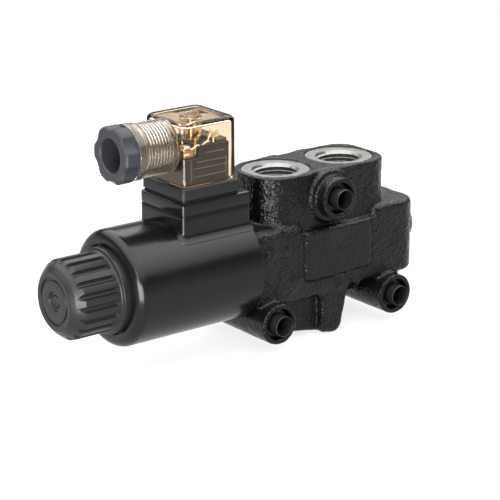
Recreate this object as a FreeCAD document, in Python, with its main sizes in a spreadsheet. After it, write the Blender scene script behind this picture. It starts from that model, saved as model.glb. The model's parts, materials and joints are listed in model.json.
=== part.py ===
"""Solenoid directional valve with two top ports, as a parametric FreeCAD document.

Frame: +X along the spool towards the end plug, +Z up, the mounting plate behind the rear
face at y = 0. The origin lies on that face, level with the spool axis and midway between
the ports. Every sub-part is drawn about the spool axis and then placed at its depth.
Lengths are in millimetres.
"""

import FreeCAD, Part
import os
import re
import Sketcher

SIZES = {
    # spool housing
    "axis_depth": 25.5,        # spool axis in front of the rear face
    "block_front": 19.0,       # spool axis to the front face
    "block_left": -42.9,
    "block_right": 50.0,
    "block_top": 16.5,
    "block_bottom": -17.5,
    "block_corner": 9.0,
    "block_edge": 2.6,
    "step_height": 11.2,       # above this the middle of the front face is set back
    "step_depth": 4.6,
    "step_left": -17.2,
    "step_right": 24.0,
    "plate_left": -16.0,       # raised pad for a name plate
    "plate_right": 21.4,
    "plate_bottom": -10.4,
    "plate_height": 0.6,
    "plate_corner": 2.2,
    "dome_pad_place": -32.5,
    "dome_pad_radius": 8.5,
    "dome_pad_height": 0.7,
    # port tower
    "port_pitch": 36.0,
    "port_face": 37.6,
    "tower_radius": 16.6,
    "tower_waist": 14.2,
    "tower_back": 18.0,
    "tower_edge": 1.2,
    "spot_radius": 15.2,
    "spot_depth": 1.0,
    "thread_radius": 9.3,      # minor radius of G1/2
    "thread_length": 16.0,
    "drill_radius": 6.0,
    "drill_overlap": 2.2,      # how far a drilling runs into the chamber it meets
    # mounting bosses
    "boss_middle": -0.5,
    "boss_spread": 33.3,       # middle to each lower boss
    "boss_low": -25.3,
    "boss_high": 25.7,
    "boss_radius": 9.2,
    "boss_front": 24.0,
    "boss_collar_radius": 11.4,
    "boss_collar_front": 18.6,
    "saddle_half": 6.5,        # web that stands the top boss on the block
    "counterbore_radius": 6.85,
    "counterbore_depth": 5.0,
    "sleeve_radius": 4.65,
    "sleeve_bore": 4.2,
    "sleeve_flange": 6.6,
    "sleeve_flange_height": 1.6,
    "sleeve_proud": 3.0,
    "sleeve_length": 18.0,
    # lower lobe and webs
    "lobe_left": -33.0,
    "lobe_left_depth": -31.0,
    "lobe_low_left": -23.0,
    "lobe_low_left_depth": -34.0,
    "lobe_low_right": 4.6,
    "lobe_depth": -38.6,
    "lobe_neck": 9.8,
    "lobe_corner": 6.0,
    "lobe_back": 19.0,
    "recess_left": -30.0,
    "recess_right": -6.0,
    "recess_top": -18.9,
    "recess_depth": 4.2,
    "recess_corner": 3.5,
    "web_front": 6.0,
    "web_back": 20.0,
    "web_low": -27.0,
    "web_inset": 3.0,
    # spool bore and galleries
    "bore_radius": 7.02,
    "chamber_radius": 10.5,
    "chamber_half": 4.4,
    "tank_radius": 14.0,
    "tank_inner": 26.5,
    "tank_outer": 31.0,
    "gallery_radius": 2.5,
    "gallery_depth": 12.0,     # behind the spool axis
    "gallery_height": -9.0,
    "gallery_end": -30.0,
    "gallery_seat": 4.0,
    "gallery_seat_depth": 7.0,
    "gallery_plug_inset": 0.6,
    "gallery_socket_radius": 2.2,
    "rear_port_radius": 4.0,
    "rear_seal_radius": 7.4,
    "rear_seal_depth": 1.8,
    # spool and its spring
    "spool_gap": 0.03,
    "spool_left": -33.2,
    "spool_land_left": -27.2,
    "spool_mid_left": -6.0,
    "spool_mid_right": 3.0,
    "spool_land_right": 24.3,
    "spool_right": 34.5,
    "spool_waist": 4.2,
    "seat_thickness": 1.5,
    "seat_radius": 5.2,
    "seat_pilot": 2.6,
    "seat_pilot_length": 3.0,
    "spring_radius": 4.1,
    "spring_wire": 0.55,
    "spring_turns": 6.0,
    # end plug
    "plug_body_radius": 8.6,
    "plug_start": 40.5,
    "plug_cavity": 5.6,
    "plug_cavity_end": 52.0,
    "plug_head_radius": 10.0,
    "plug_head_length": 7.4,
    "plug_dome": 3.0,
    "plug_dome_shoulder": 1.05,
    "plug_dome_inset": 1.65,
    "plug_face_radius": 5.5,
    "plug_socket_radius": 4.0,
    "plug_socket_depth": 3.0,
    "plug_seal_section": 1.0,
    "plug_seal_offset": 1.2,
    # solenoid tube
    "nose_radius": 10.4,
    "nose_end": -33.3,
    "tube_radius": 10.0,
    "tube_wall": 1.5,
    "tube_start": -47.0,
    "tube_end": -131.0,
    "pole_face": -75.0,
    "pin_radius": 2.0,
    "pin_gap": 0.06,
    "armature_gap": 0.1,
    "armature_length": 40.8,
    "armature_socket": 6.0,
    "armature_vent": 1.2,
    "tube_plug_start": -121.0,
    "override_radius": 2.5,
    "override_collar": 3.6,
    "override_collar_length": 1.4,
    "override_end": -132.6,
    "override_chamfer": 0.4,
    "override_groove": 2.6,    # tube end to the groove of the pin's seal
    "override_groove_length": 1.98,
    "nose_seal_section": 0.9,
    # ring nut
    "nut_front": -133.5,
    "nut_rear": -106.4,
    "nut_flange_radius": 18.7,
    "nut_flange_end": -111.0,
    "nut_radius": 17.2,
    "nut_chamfer_start": -128.6,
    "nut_face_radius": 12.9,
    "nut_chamfer": 1.2,
    "nut_chamfer_width": 1.6,
    "nut_flange_chamfer": 1.0,
    "nut_bore": 10.12,
    "nut_face_wall": 2.3,
    "nut_recess_radius": 4.2,
    "nut_recess_depth": 1.1,
    "nut_ring_radius": 10.2,
    "nut_ring_depth": 0.8,
    "nut_ring_width": 1.1,
    "nut_hole_radius": 2.75,
    "nut_spigot_radius": 12.6,
    "nut_spigot_end": -104.6,
    "flute_count": 20.0,
    "flute_radius": 1.05,
    "flute_circle": 17.5,
    "flute_rear": -112.2,
    # coil
    "coil_radius": 25.2,
    "coil_left": -108.0,
    "coil_right": -43.3,
    "coil_bore": 10.15,
    "coil_rim": 4.5,
    "coil_wall": 2.2,
    "coil_recess_radius": 19.2,  # shallow recess round the ring nut's rear edge
    "coil_socket_radius": 13.4,
    "coil_socket_depth": 4.6,
    "washer_thickness": 3.6,
    "bobbin_wall": 1.2,
    "bobbin_flange": 1.6,
    "winding_radius": 19.6,
    "yoke_radius": 22.9,
    "yoke_bore": 20.4,
    "coil_seal_section": 1.1,
    "coil_seal_radius": 11.6,
    # coil tower
    "tower_box_left": -79.2,
    "tower_box_half": 15.6,
    "tower_box_top": 35.0,
    "tower_groove": 29.6,
    "tower_groove_height": 0.9,
    "tower_groove_depth": 0.5,
    "tower_box_corner": 1.6,
    "insert_radius": 2.6,
    "insert_depth": 7.0,
    # connector
    "connector_middle": -63.55,
    "connector_half": 13.75,
    "connector_low": 41.5,
    "connector_top": 68.7,
    "connector_wall": 1.5,
    "connector_roof": 2.2,
    "connector_corner": 2.0,
    "well_radius": 4.4,
    "well_recess": 3.4,
    "well_recess_depth": 3.6,
    "well_low": 58.2,
    "screw_radius": 1.5,
    "screw_gap": 0.2,
    "screw_head_radius": 2.8,
    "screw_head_height": 2.0,
    "screw_low": 30.0,
    "driver_slot_depth": 1.0,
    "driver_slot_half": 0.4,
    "gasket_half": 15.1,
    "gasket_height": 2.2,
    "flange_half": 14.4,
    "carrier_margin": 2.15,    # from the cap's outside to the carrier
    "carrier_top": 57.6,
    "carrier_low_step": 52.6,
    "carrier_step_place": -4.0,
    "carrier_inset": 0.6,      # carrier's side to the terminals and the board
    "blade_width": 6.3,
    "blade_thickness": 0.8,
    "blade_reach": 9.0,
    "blade_offset": 9.0,
    "blade_slot_gap": 0.3,
    "blade_slot_depth": 9.6,
    "board_thickness": 1.2,
    "board_length": 5.8,
    "board_width": 20.0,
    "lamp_radius": 2.4,
    "lamp_height": 4.0,
    "lamp_inset": 0.8,
    "lamp_dome": 1.9,
    "terminal_size": 5.6,
    "terminal_pitch": 7.2,
    "terminal_height": 3.4,
    "terminal_screw_radius": 1.7,
    "terminal_screw_height": 1.5,
    # cable entry
    "entry_height": 57.0,
    "neck_radius": 11.7,
    "neck_bore": 9.4,
    "neck_end": -97.3,
    "neck_rim_radius": 12.2,   # rim round the gland's collar
    "neck_rim_depth": 5.0,
    "neck_mouth_radius": 11.4,
    "neck_mouth_depth": 4.2,
    "neck_inner_end": -76.4,
    "gland_end": -104.6,
    "gland_radius": 12.4,
    "gland_chamfer": 0.6,
    "gland_bore": 7.2,
    "gland_head": -97.6,
    "gland_collar_radius": 11.0,
    "gland_collar_end": -93.4,
    "gland_shank": 9.2,
    "gland_shank_end": -84.2,
    "gland_lobes": 6.0,
    "gland_scallop": 9.0,
    "gland_scallop_circle": 20.2,
    "gland_washer_thickness": 1.0,
    "gland_washer_bore": 6.2,
    "gland_seal_bore": 4.0,
    "gland_seal_end": -77.6,
    "overcut": 1.0,            # how far a cutter runs past the face it starts from
    "root_overlap": 2.0,       # how far a lobe or web runs into the block
    "fit_gap": 0.05,
    "joint_gap": 0.3,
}

FUNCTIONS = {"sqrt", "min", "max", "abs", "round", "cos", "sin", "deg"}

doc = FreeCAD.newDocument("SolenoidValve")
sheet = doc.addObject("Spreadsheet::Sheet", "Sizes")
for row, (name, number) in enumerate(SIZES.items(), start=1):
    sheet.set(f"A{row}", name)
    sheet.set(f"B{row}", str(number))
    sheet.setAlias(f"B{row}", name)
doc.recompute()

sub_parts = {}


def bound(text):
    """The expression with every size name taken from the sheet."""
    def name_in_sheet(match):
        word = match.group(0)
        return word if word in FUNCTIONS else "Sizes." + word
    return re.sub(r"[A-Za-z_]\w*", name_in_sheet, str(text))


def value(text):
    """What an expression of size names comes to."""
    return float(sheet.evalExpression(bound(text)))


def bind(feature, **expressions):
    """Tie a feature's properties to expressions of size names."""
    for prop, text in expressions.items():
        feature.setExpression(prop, bound(text))


def keep(name, thing, turn=None, at=("0", "0", "0")):
    """Name a sub-part, turn it and place it relative to the spool axis."""
    thing.Label = name
    if turn is not None:
        thing.Placement = FreeCAD.Placement(FreeCAD.Vector(), turn)
    thing.setExpression("Placement.Base.x", bound(at[0]))
    thing.setExpression("Placement.Base.y", bound(f"{at[1]} - axis_depth"))
    thing.setExpression("Placement.Base.z", bound(at[2]))
    sub_parts[name] = thing
    return thing


def new_body(name):
    return doc.addObject("PartDesign::Body", name)


def sketch_on(body, name, plane="XZ_Plane", offset="0"):
    """A sketch on one of the body's origin planes, moved along the plane's normal."""
    sketch = body.newObject("Sketcher::SketchObject", name)
    planes = [f for f in body.Origin.OriginFeatures if f.Role == plane]
    sketch.AttachmentSupport = (planes[0], [""])
    sketch.MapMode = "FlatFace"
    sketch.setExpression("AttachmentOffset.Base.z", bound(offset))
    return sketch


def fix_point(sketch, edge, end, across, up):
    """Hold one end of a sketch edge at a place given by two expressions."""
    for kind, text in (("DistanceX", across), ("DistanceY", up)):
        number = sketch.addConstraint(
            Sketcher.Constraint(kind, -1, 1, edge, end, value(text)))
        sketch.setExpression(f"Constraints[{number}]", bound(text))


def polygon(sketch, points):
    """A closed outline of straight edges through the given points."""
    corners = [FreeCAD.Vector(value(a), value(b), 0) for a, b in points]
    first = sketch.GeometryCount
    count = len(corners)
    for k in range(count):
        sketch.addGeometry(Part.LineSegment(corners[k], corners[(k + 1) % count]), False)
    for k in range(count):
        sketch.addConstraint(
            Sketcher.Constraint("Coincident", first + k, 2, first + (k + 1) % count, 1))
    for k, (across, up) in enumerate(points):
        fix_point(sketch, first + k, 1, across, up)


def circle(sketch, across, up, radius):
    """A circle held at a place, with its radius from the sheet."""
    centre = FreeCAD.Vector(value(across), value(up), 0)
    edge = sketch.addGeometry(
        Part.Circle(centre, FreeCAD.Vector(0, 0, 1), value(radius)), False)
    fix_point(sketch, edge, 3, across, up)
    number = sketch.addConstraint(Sketcher.Constraint("Radius", edge, value(radius)))
    sketch.setExpression(f"Constraints[{number}]", bound(radius))


def rectangle(left, right, low, high):
    return [(left, low), (right, low), (right, high), (left, high)]


def pad(body, name, draw, length, plane="XZ_Plane", offset="0", reverse=False):
    """Draw a sketch and pad it along the plane's normal, or against it."""
    sketch = sketch_on(body, name + "Sketch", plane, offset)
    draw(sketch)
    feature = body.newObject("PartDesign::Pad", name)
    feature.Profile = sketch
    feature.Reversed = reverse
    bind(feature, Length=length)
    doc.recompute()
    return feature


def pocket(body, name, draw, length, plane="XZ_Plane", offset="0", reverse=False):
    """Draw a sketch and cut it against the plane's normal, or along it."""
    before = body.Shape.Volume
    sketch = sketch_on(body, name + "Sketch", plane, offset)
    draw(sketch)
    feature = body.newObject("PartDesign::Pocket", name)
    feature.Profile = sketch
    feature.Reversed = reverse
    bind(feature, Length=length)
    doc.recompute()
    if body.Shape.Volume >= before:
        raise RuntimeError(f"{name} cuts nothing")
    return feature


def turned(body, points, name="Turned", groove=False):
    """A shape turned about the X axis: the outline is (place along X, radius)."""
    sketch = sketch_on(body, name + "Sketch")
    polygon(sketch, points)
    kind = "PartDesign::Groove" if groove else "PartDesign::Revolution"
    feature = body.newObject(kind, name)
    feature.Profile = sketch
    feature.ReferenceAxis = (sketch, ["H_Axis"])
    feature.Angle = 360
    doc.recompute()
    return feature


def polar(body, feature, sketch_axis, count):
    """Repeat a feature evenly round an origin axis."""
    pattern = body.newObject("PartDesign::PolarPattern", feature.Name + "Pattern")
    pattern.Originals = [feature]
    axes = [f for f in body.Origin.OriginFeatures if f.Role == sketch_axis]
    pattern.Axis = (axes[0], [""])
    pattern.Angle = 360
    bind(pattern, Occurrences=count)
    body.Tip = pattern
    doc.recompute()
    return pattern


def round_edges(body, name, chosen, radius):
    """Fillet the edges of the body's last feature that a test picks out."""
    base = body.Tip
    edges = [f"Edge{k}" for k, edge in enumerate(base.Shape.Edges, start=1) if chosen(edge)]
    feature = body.newObject("PartDesign::Fillet", name)
    feature.Base = (base, edges)
    bind(feature, Radius=radius)
    doc.recompute()
    return feature


def edge_middle(edge):
    return edge.valueAt((edge.FirstParameter + edge.LastParameter) / 2)


def near(a, b):
    return abs(a - b) < 0.01


def along(edge, axis):
    """Whether a straight edge runs along an axis: 0, 1 or 2."""
    ends = edge.Vertexes
    if len(ends) < 2:
        return False
    gap = ends[1].Point - ends[0].Point
    return all(near(gap[k], 0) for k in range(3) if k != axis) and abs(gap[axis]) > 0.01


def ring(name, wire_circle, section, turn, at):
    """An O-ring: a torus whose axis is turned and placed."""
    torus = doc.addObject("Part::Torus", name)
    bind(torus, Radius1=wire_circle, Radius2=section)
    return keep(name, torus, turn, at)


def cylinder(name, radius, height, turn, at):
    """A plain helper cylinder, placed relative to the spool axis."""
    thing = doc.addObject("Part::Cylinder", name)
    bind(thing, Radius=radius, Height=height)
    thing.Placement = FreeCAD.Placement(FreeCAD.Vector(), turn)
    for axis, text in zip("xyz", at):
        thing.setExpression(f"Placement.Base.{axis}", bound(text))
    return thing


def box(name, left, right, front, back, low, high):
    """A plain helper box between six expressions, relative to the spool axis."""
    thing = doc.addObject("Part::Box", name)
    bind(thing, Length=f"{right} - ({left})", Width=f"{back} - ({front})",
         Height=f"{high} - ({low})")
    for axis, text in zip("xyz", (left, front, low)):
        thing.setExpression(f"Placement.Base.{axis}", bound(text))
    return thing


def cut(name, base, tool):
    result = doc.addObject("Part::Cut", name)
    result.Base = base
    result.Tool = tool
    return result


def group(name, things):
    """Several separate solids in one node."""
    compound = doc.addObject("Part::Compound", name)
    compound.Links = things
    return compound


UPRIGHT = FreeCAD.Rotation()
TO_FRONT = FreeCAD.Rotation(FreeCAD.Vector(0, 0, 1), -90)      # X turned to -Y
TO_TOP = FreeCAD.Rotation(FreeCAD.Vector(0, 1, 0), -90)        # X turned to +Z
Z_TO_X = FreeCAD.Rotation(FreeCAD.Vector(0, 1, 0), 90)         # Z turned to +X
Z_TO_FRONT = FreeCAD.Rotation(FreeCAD.Vector(1, 0, 0), 90)     # Z turned to -Y

SIDES = ("-1", "1")
BOSSES = [
    ("boss_middle - boss_spread", "boss_low"),
    ("boss_middle + boss_spread", "boss_low"),
    ("boss_middle", "boss_high"),
]


# ---- cast body ---------------------------------------------------------------------------

def block(body):
    """The spool housing: a block with a large front right corner and soft cast edges."""
    outline = rectangle("block_left", "block_right", "-block_front", "axis_depth")
    pad(body, "Block", lambda s: polygon(s, outline), "block_top - block_bottom",
        "XY_Plane", "block_bottom")
    right, front, top = value("block_right"), value("-block_front"), value("block_top")
    bottom = value("block_bottom")

    def front_right(edge):
        middle = edge_middle(edge)
        return along(edge, 2) and near(middle.x, right) and near(middle.y, front)

    def soft(edge):
        middle = edge_middle(edge)
        level = near(middle.z, top) or near(middle.z, bottom)
        rear = near(middle.y, value("axis_depth"))
        left = near(middle.x, value("block_left"))
        return level and not rear and not left

    round_edges(body, "BlockCorner", front_right, "block_corner")
    round_edges(body, "BlockEdges", soft, "block_edge")
    pocket(body, "Step",
           lambda s: polygon(s, rectangle("step_left", "step_right", "step_height",
                                          "block_top + overcut")),
           "step_depth + plate_height", offset="block_front + plate_height")


def port_tower(body):
    """Two round port bosses joined by a waist, standing on the block."""
    for side in SIDES:
        pad(body, "Tower" + ("Left" if side == "-1" else "Right"),
            lambda s: circle(s, f"{side} * port_pitch / 2", "0", "tower_radius"),
            "port_face", "XY_Plane", "0")
    pad(body, "Waist",
        lambda s: polygon(s, rectangle("-port_pitch / 2", "port_pitch / 2",
                                       "-tower_waist", "tower_back")),
        "port_face", "XY_Plane", "0")
    top = value("port_face")
    round_edges(body, "TowerRim", lambda e: near(edge_middle(e).z, top), "tower_edge")


def lower_lobe(body):
    """The lobe under the block, with a front pocket and a rib, and the webs beside it."""
    outline = [
        ("lobe_left", "block_bottom + root_overlap"),
        ("lobe_left", "lobe_left_depth"),
        ("lobe_low_left", "lobe_low_left_depth"),
        ("lobe_low_right", "lobe_depth"),
        ("lobe_neck", "block_bottom + root_overlap"),
    ]
    pad(body, "Lobe", lambda s: polygon(s, outline), "block_front + lobe_back",
        offset="-lobe_back")
    low_right, deep = value("lobe_low_right"), value("lobe_depth")

    def lobe_foot(edge):
        middle = edge_middle(edge)
        return along(edge, 1) and near(middle.x, low_right) and near(middle.z, deep)

    round_edges(body, "LobeCorner", lobe_foot, "lobe_corner")
    pocket(body, "Recess",
           lambda s: polygon(s, rectangle("recess_left", "recess_right", "lobe_depth - overcut",
                                          "recess_top")),
           "recess_depth", offset="block_front")
    inner, ceiling = value("recess_right"), value("recess_top")

    def recess_corner(edge):
        middle = edge_middle(edge)
        return along(edge, 1) and near(middle.x, inner) and near(middle.z, ceiling)

    round_edges(body, "RecessCorner", recess_corner, "recess_corner")
    pad(body, "RightWeb",
        lambda s: polygon(s, rectangle("lobe_neck - web_inset",
                                       "boss_middle + boss_spread",
                                       "web_low", "block_bottom + root_overlap")),
        "web_front + web_back", offset="-web_back")


def bosses(body):
    """Three mounting bosses from the rear face to in front of the block, the top one on a web."""
    for number, (across, up) in enumerate(BOSSES):
        pad(body, f"Boss{number}", lambda s: circle(s, across, up, "boss_radius"),
            "axis_depth + boss_front", offset="-axis_depth")
    across, up = BOSSES[2]
    pad(body, "Saddle",
        lambda s: polygon(s, rectangle(f"{across} - saddle_half", f"{across} + saddle_half",
                                       "bore_radius", up)),
        "axis_depth", offset="-axis_depth")
    pad(body, "BossCollar", lambda s: circle(s, across, up, "boss_collar_radius"),
        "boss_collar_front", offset="0")


def raised_pads(body):
    """The pad for a name plate and a round cast pad beside it."""
    outline = rectangle("plate_left", "plate_right", "plate_bottom", "step_height")
    pad(body, "Plate", lambda s: polygon(s, outline), "plate_height", offset="block_front")
    front = value("-block_front - plate_height")

    def plate_corner(edge):
        middle = edge_middle(edge)
        return (along(edge, 1) and near(middle.z, value("plate_bottom"))
                and middle.y > front and middle.y < front + value("plate_height"))

    round_edges(body, "PlateCorner", plate_corner, "plate_corner")
    pad(body, "RoundPad",
        lambda s: circle(s, "dome_pad_place", "0", "dome_pad_radius"),
        "dome_pad_height", offset="block_front")


def spool_bore(body):
    """The spool bore with its pressure, work and tank chambers, and both threaded ends."""
    half = "chamber_half"
    work = "port_pitch / 2"
    outline = [
        ("block_left - overcut", "0"),
        ("block_left - overcut", "nose_radius + fit_gap"),
        ("nose_end", "nose_radius + fit_gap"),
        ("nose_end", "bore_radius"),
    ]
    chambers = [
        ("-tank_outer", "-tank_inner", "tank_radius"),
        (f"-{work} - {half}", f"-{work} + {half}", "chamber_radius"),
        (f"-{half}", half, "chamber_radius"),
        (f"{work} - {half}", f"{work} + {half}", "chamber_radius"),
        ("tank_inner", "tank_outer", "tank_radius"),
    ]
    for start, end, radius in chambers:
        outline += [(start, "bore_radius"), (start, radius), (end, radius),
                    (end, "bore_radius")]
    outline += [
        ("plug_start - overcut", "bore_radius"),
        ("plug_start - overcut", "plug_body_radius + fit_gap"),
        ("block_right + overcut", "plug_body_radius + fit_gap"),
        ("block_right + overcut", "0"),
    ]
    turned(body, outline, "SpoolBore", groove=True)


def port_holes(body):
    """Spot face, thread bore and drilling of both ports."""
    steps = [
        ("SpotFaces", "spot_radius", "spot_depth"),
        ("ThreadBores", "thread_radius", "spot_depth + thread_length"),
        ("Drillings", "drill_radius", "port_face - chamber_radius + drill_overlap"),
    ]
    for name, radius, depth in steps:
        def draw(sketch):
            for side in SIDES:
                circle(sketch, f"{side} * port_pitch / 2", "0", radius)
        pocket(body, name, draw, depth, "XY_Plane", "port_face")


def rear_holes(body):
    """Pressure and tank ports in the rear face, with their seal grooves."""
    places = ("0", "-(tank_inner + tank_outer) / 2")

    def draw(sketch, radius):
        for across in places:
            circle(sketch, across, "0", radius)

    pocket(body, "RearPorts", lambda s: draw(s, "rear_port_radius"),
           "axis_depth - chamber_radius + drill_overlap", offset="-axis_depth", reverse=True)
    pocket(body, "RearGrooves", lambda s: draw(s, "rear_seal_radius"),
           "rear_seal_depth", offset="-axis_depth", reverse=True)
    pocket(body, "Gallery",
           lambda s: circle(s, "gallery_depth", "gallery_height", "gallery_radius"),
           "block_right - gallery_end", "YZ_Plane", "block_right")
    pocket(body, "GallerySeat",
           lambda s: circle(s, "gallery_depth", "gallery_height", "gallery_seat"),
           "gallery_seat_depth", "YZ_Plane", "block_right")


def mounting_holes(body):
    """Counterbored through holes in the three bosses."""
    def draw(sketch, radius):
        for across, up in BOSSES:
            circle(sketch, across, up, radius)

    pocket(body, "ThroughHoles", lambda s: draw(s, "sleeve_radius + fit_gap"),
           "boss_front + axis_depth", offset="boss_front")
    pocket(body, "Counterbores", lambda s: draw(s, "counterbore_radius"),
           "counterbore_depth", offset="boss_front")


def valve_body():
    body = new_body("ValveBody")
    block(body)
    lower_lobe(body)
    port_tower(body)
    bosses(body)
    raised_pads(body)
    spool_bore(body)
    port_holes(body)
    rear_holes(body)
    mounting_holes(body)
    keep("valve_body", body)


def mounting_sleeves():
    """One flanged sleeve in each boss, its flange on the counterbore's floor."""
    outline = [
        ("-sleeve_length", "sleeve_bore"),
        ("counterbore_depth + sleeve_proud", "sleeve_bore"),
        ("counterbore_depth + sleeve_proud", "sleeve_radius"),
        ("sleeve_flange_height", "sleeve_radius"),
        ("sleeve_flange_height", "sleeve_flange"),
        ("0", "sleeve_flange"),
        ("0", "sleeve_radius"),
        ("-sleeve_length", "sleeve_radius"),
    ]
    sleeves = []
    for number, (across, up) in enumerate(BOSSES):
        body = new_body(f"Sleeve{number}")
        turned(body, outline, f"SleeveTurned{number}")
        body.Placement = FreeCAD.Placement(FreeCAD.Vector(), TO_FRONT)
        place = (across, "counterbore_depth - boss_front", up)
        for axis, text in zip("xyz", place):
            body.setExpression(f"Placement.Base.{axis}", bound(text))
        sleeves.append(body)
    keep("mounting_sleeves", group("MountingSleeves", sleeves))


def face_seals():
    """O-rings in the rear face, round the pressure and tank ports."""
    rings = []
    for number, across in enumerate(("0", "-(tank_inner + tank_outer) / 2")):
        torus = doc.addObject("Part::Torus", f"FaceSeal{number}")
        bind(torus, Radius1="rear_seal_radius - rear_seal_depth / 2 - fit_gap",
             Radius2="rear_seal_depth / 2 - fit_gap")
        torus.Placement = FreeCAD.Placement(FreeCAD.Vector(), Z_TO_FRONT)
        place = (across, "axis_depth - rear_seal_depth / 2", "0")
        for axis, text in zip("xyz", place):
            torus.setExpression(f"Placement.Base.{axis}", bound(text))
        rings.append(torus)
    keep("face_seals", group("FaceSeals", rings))


def gallery_plug():
    """Screwed plug that closes the tank gallery, with a hexagon socket."""
    body = new_body("GalleryPlug")
    turned(body, [
        ("block_right - gallery_seat_depth", "0"),
        ("block_right - gallery_seat_depth", "gallery_seat - fit_gap"),
        ("block_right - gallery_plug_inset", "gallery_seat - fit_gap"),
        ("block_right - gallery_plug_inset", "0"),
    ], "GalleryPlugTurned")
    hexagon_socket(body, "block_right", "gallery_socket_radius", "gallery_seat_depth / 2")
    keep("gallery_plug", body, at=("0", "gallery_depth", "gallery_height"))


def hexagon_socket(body, face, radius, depth):
    """A hexagon socket cut into a face that looks along +X."""
    points = [(f"({radius}) * cos({60 * k} deg)", f"({radius}) * sin({60 * k} deg)")
              for k in range(6)]
    pocket(body, body.Name + "Socket", lambda s: polygon(s, points), depth,
           "YZ_Plane", face)


# ---- spool train -------------------------------------------------------------------------

def spool():
    """Spool with three lands and two waists."""
    land = "bore_radius - spool_gap"
    body = new_body("Spool")
    turned(body, [
        ("spool_left", "0"),
        ("spool_left", land),
        ("spool_land_left", land),
        ("spool_land_left", "spool_waist"),
        ("spool_mid_left", "spool_waist"),
        ("spool_mid_left", land),
        ("spool_mid_right", land),
        ("spool_mid_right", "spool_waist"),
        ("spool_land_right", "spool_waist"),
        ("spool_land_right", land),
        ("spool_right", land),
        ("spool_right", "0"),
    ], "SpoolTurned")
    keep("spool", body)


def spring_seat():
    """Cup washer between the spool and its spring, with a pilot inside the spring."""
    body = new_body("SpringSeat")
    face = "spool_right + fit_gap"
    turned(body, [
        (face, "0"),
        (face, "seat_radius"),
        (f"{face} + seat_thickness", "seat_radius"),
        (f"{face} + seat_thickness", "seat_pilot"),
        (f"{face} + seat_thickness + seat_pilot_length", "seat_pilot"),
        (f"{face} + seat_thickness + seat_pilot_length", "0"),
    ], "SpringSeatTurned")
    keep("spring_seat", body)


def return_spring():
    """Helical compression spring between the seat and the end plug's cavity."""
    start = "spool_right + 2 * fit_gap + seat_thickness + spring_wire"
    helix = doc.addObject("Part::Helix", "SpringHelix")
    bind(helix, Radius="spring_radius",
         Height=f"plug_cavity_end - spring_wire - fit_gap - ({start})",
         Pitch=f"(plug_cavity_end - spring_wire - fit_gap - ({start})) / spring_turns")
    section = doc.addObject("Part::Circle", "SpringWire")
    bind(section, Radius="spring_wire")
    section.Placement = FreeCAD.Placement(FreeCAD.Vector(),
                                          FreeCAD.Rotation(FreeCAD.Vector(1, 0, 0), 90))
    section.setExpression("Placement.Base.x", bound("spring_radius"))
    coil = doc.addObject("Part::Sweep", "ReturnSpring")
    coil.Sections = [section]
    coil.Spine = (helix, ["Edge1"])
    coil.Solid = True
    coil.Frenet = True
    keep("return_spring", coil, Z_TO_X, (start, "0", "0"))


def end_plug():
    """Screwed plug at the spring end, with a domed head and a hexagon socket."""
    body = new_body("EndPlug")
    face = "block_right + fit_gap"
    end = "block_right + plug_head_length"
    turned(body, [
        ("plug_start", "plug_cavity"),
        ("plug_start", "plug_body_radius"),
        (face, "plug_body_radius"),
        (face, "plug_head_radius"),
        (f"{end} - plug_dome", "plug_head_radius"),
        (f"{end} - plug_dome_shoulder", "plug_head_radius - plug_dome_inset"),
        (end, "plug_face_radius"),
        (end, "0"),
        ("plug_cavity_end", "0"),
        ("plug_cavity_end", "plug_cavity"),
    ], "EndPlugTurned")
    hexagon_socket(body, end, "plug_socket_radius", "plug_socket_depth")
    keep("end_plug", body)


def end_plug_seal():
    """O-ring in front of the end plug's thread, in a chamfer of the bore."""
    ring("end_plug_seal", "plug_cavity + plug_seal_offset", "plug_seal_section / 2", Z_TO_X,
         ("plug_start - plug_seal_section / 2 - fit_gap", "0", "0"))


# ---- solenoid tube -----------------------------------------------------------------------

def pole_piece():
    """Fixed core: threaded nose in the body and a spigot that carries the tube."""
    body = new_body("PolePiece")
    turned(body, [
        ("pole_face", "pin_radius + pin_gap"),
        ("pole_face", "tube_radius - tube_wall - fit_gap"),
        ("tube_start + fit_gap", "tube_radius - tube_wall - fit_gap"),
        ("tube_start + fit_gap", "tube_radius"),
        ("block_left", "tube_radius"),
        ("block_left", "nose_radius"),
        ("nose_end", "nose_radius"),
        ("nose_end", "pin_radius + pin_gap"),
    ], "PolePieceTurned")
    keep("pole_piece", body)


def core_tube():
    """Thin tube that guides the armature and carries the coil and the ring nut."""
    body = new_body("CoreTube")
    turned(body, [
        ("tube_end", "tube_radius - tube_wall"),
        ("tube_end", "tube_radius"),
        ("tube_start", "tube_radius"),
        ("tube_start", "tube_radius - tube_wall"),
    ], "CoreTubeTurned")
    keep("core_tube", body)


def tube_plug():
    """End piece of the tube, bored for the manual override pin and its seal."""
    body = new_body("TubePlug")
    groove = "tube_end + override_groove"
    turned(body, [
        ("tube_end", "override_radius + pin_gap"),
        ("tube_end", "tube_radius - tube_wall - fit_gap"),
        ("tube_plug_start", "tube_radius - tube_wall - fit_gap"),
        ("tube_plug_start", "override_radius + pin_gap"),
        (f"{groove} + override_groove_length", "override_radius + pin_gap"),
        (f"{groove} + override_groove_length",
         "override_radius + nose_seal_section * 2 + pin_gap"),
        (groove, "override_radius + nose_seal_section * 2 + pin_gap"),
        (groove, "override_radius + pin_gap"),
    ], "TubePlugTurned")
    keep("tube_plug", body)


def override_seal():
    ring("override_seal", "override_radius + nose_seal_section + pin_gap",
         "nose_seal_section", Z_TO_X,
         ("tube_end + override_groove + override_groove_length / 2", "0", "0"))


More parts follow.
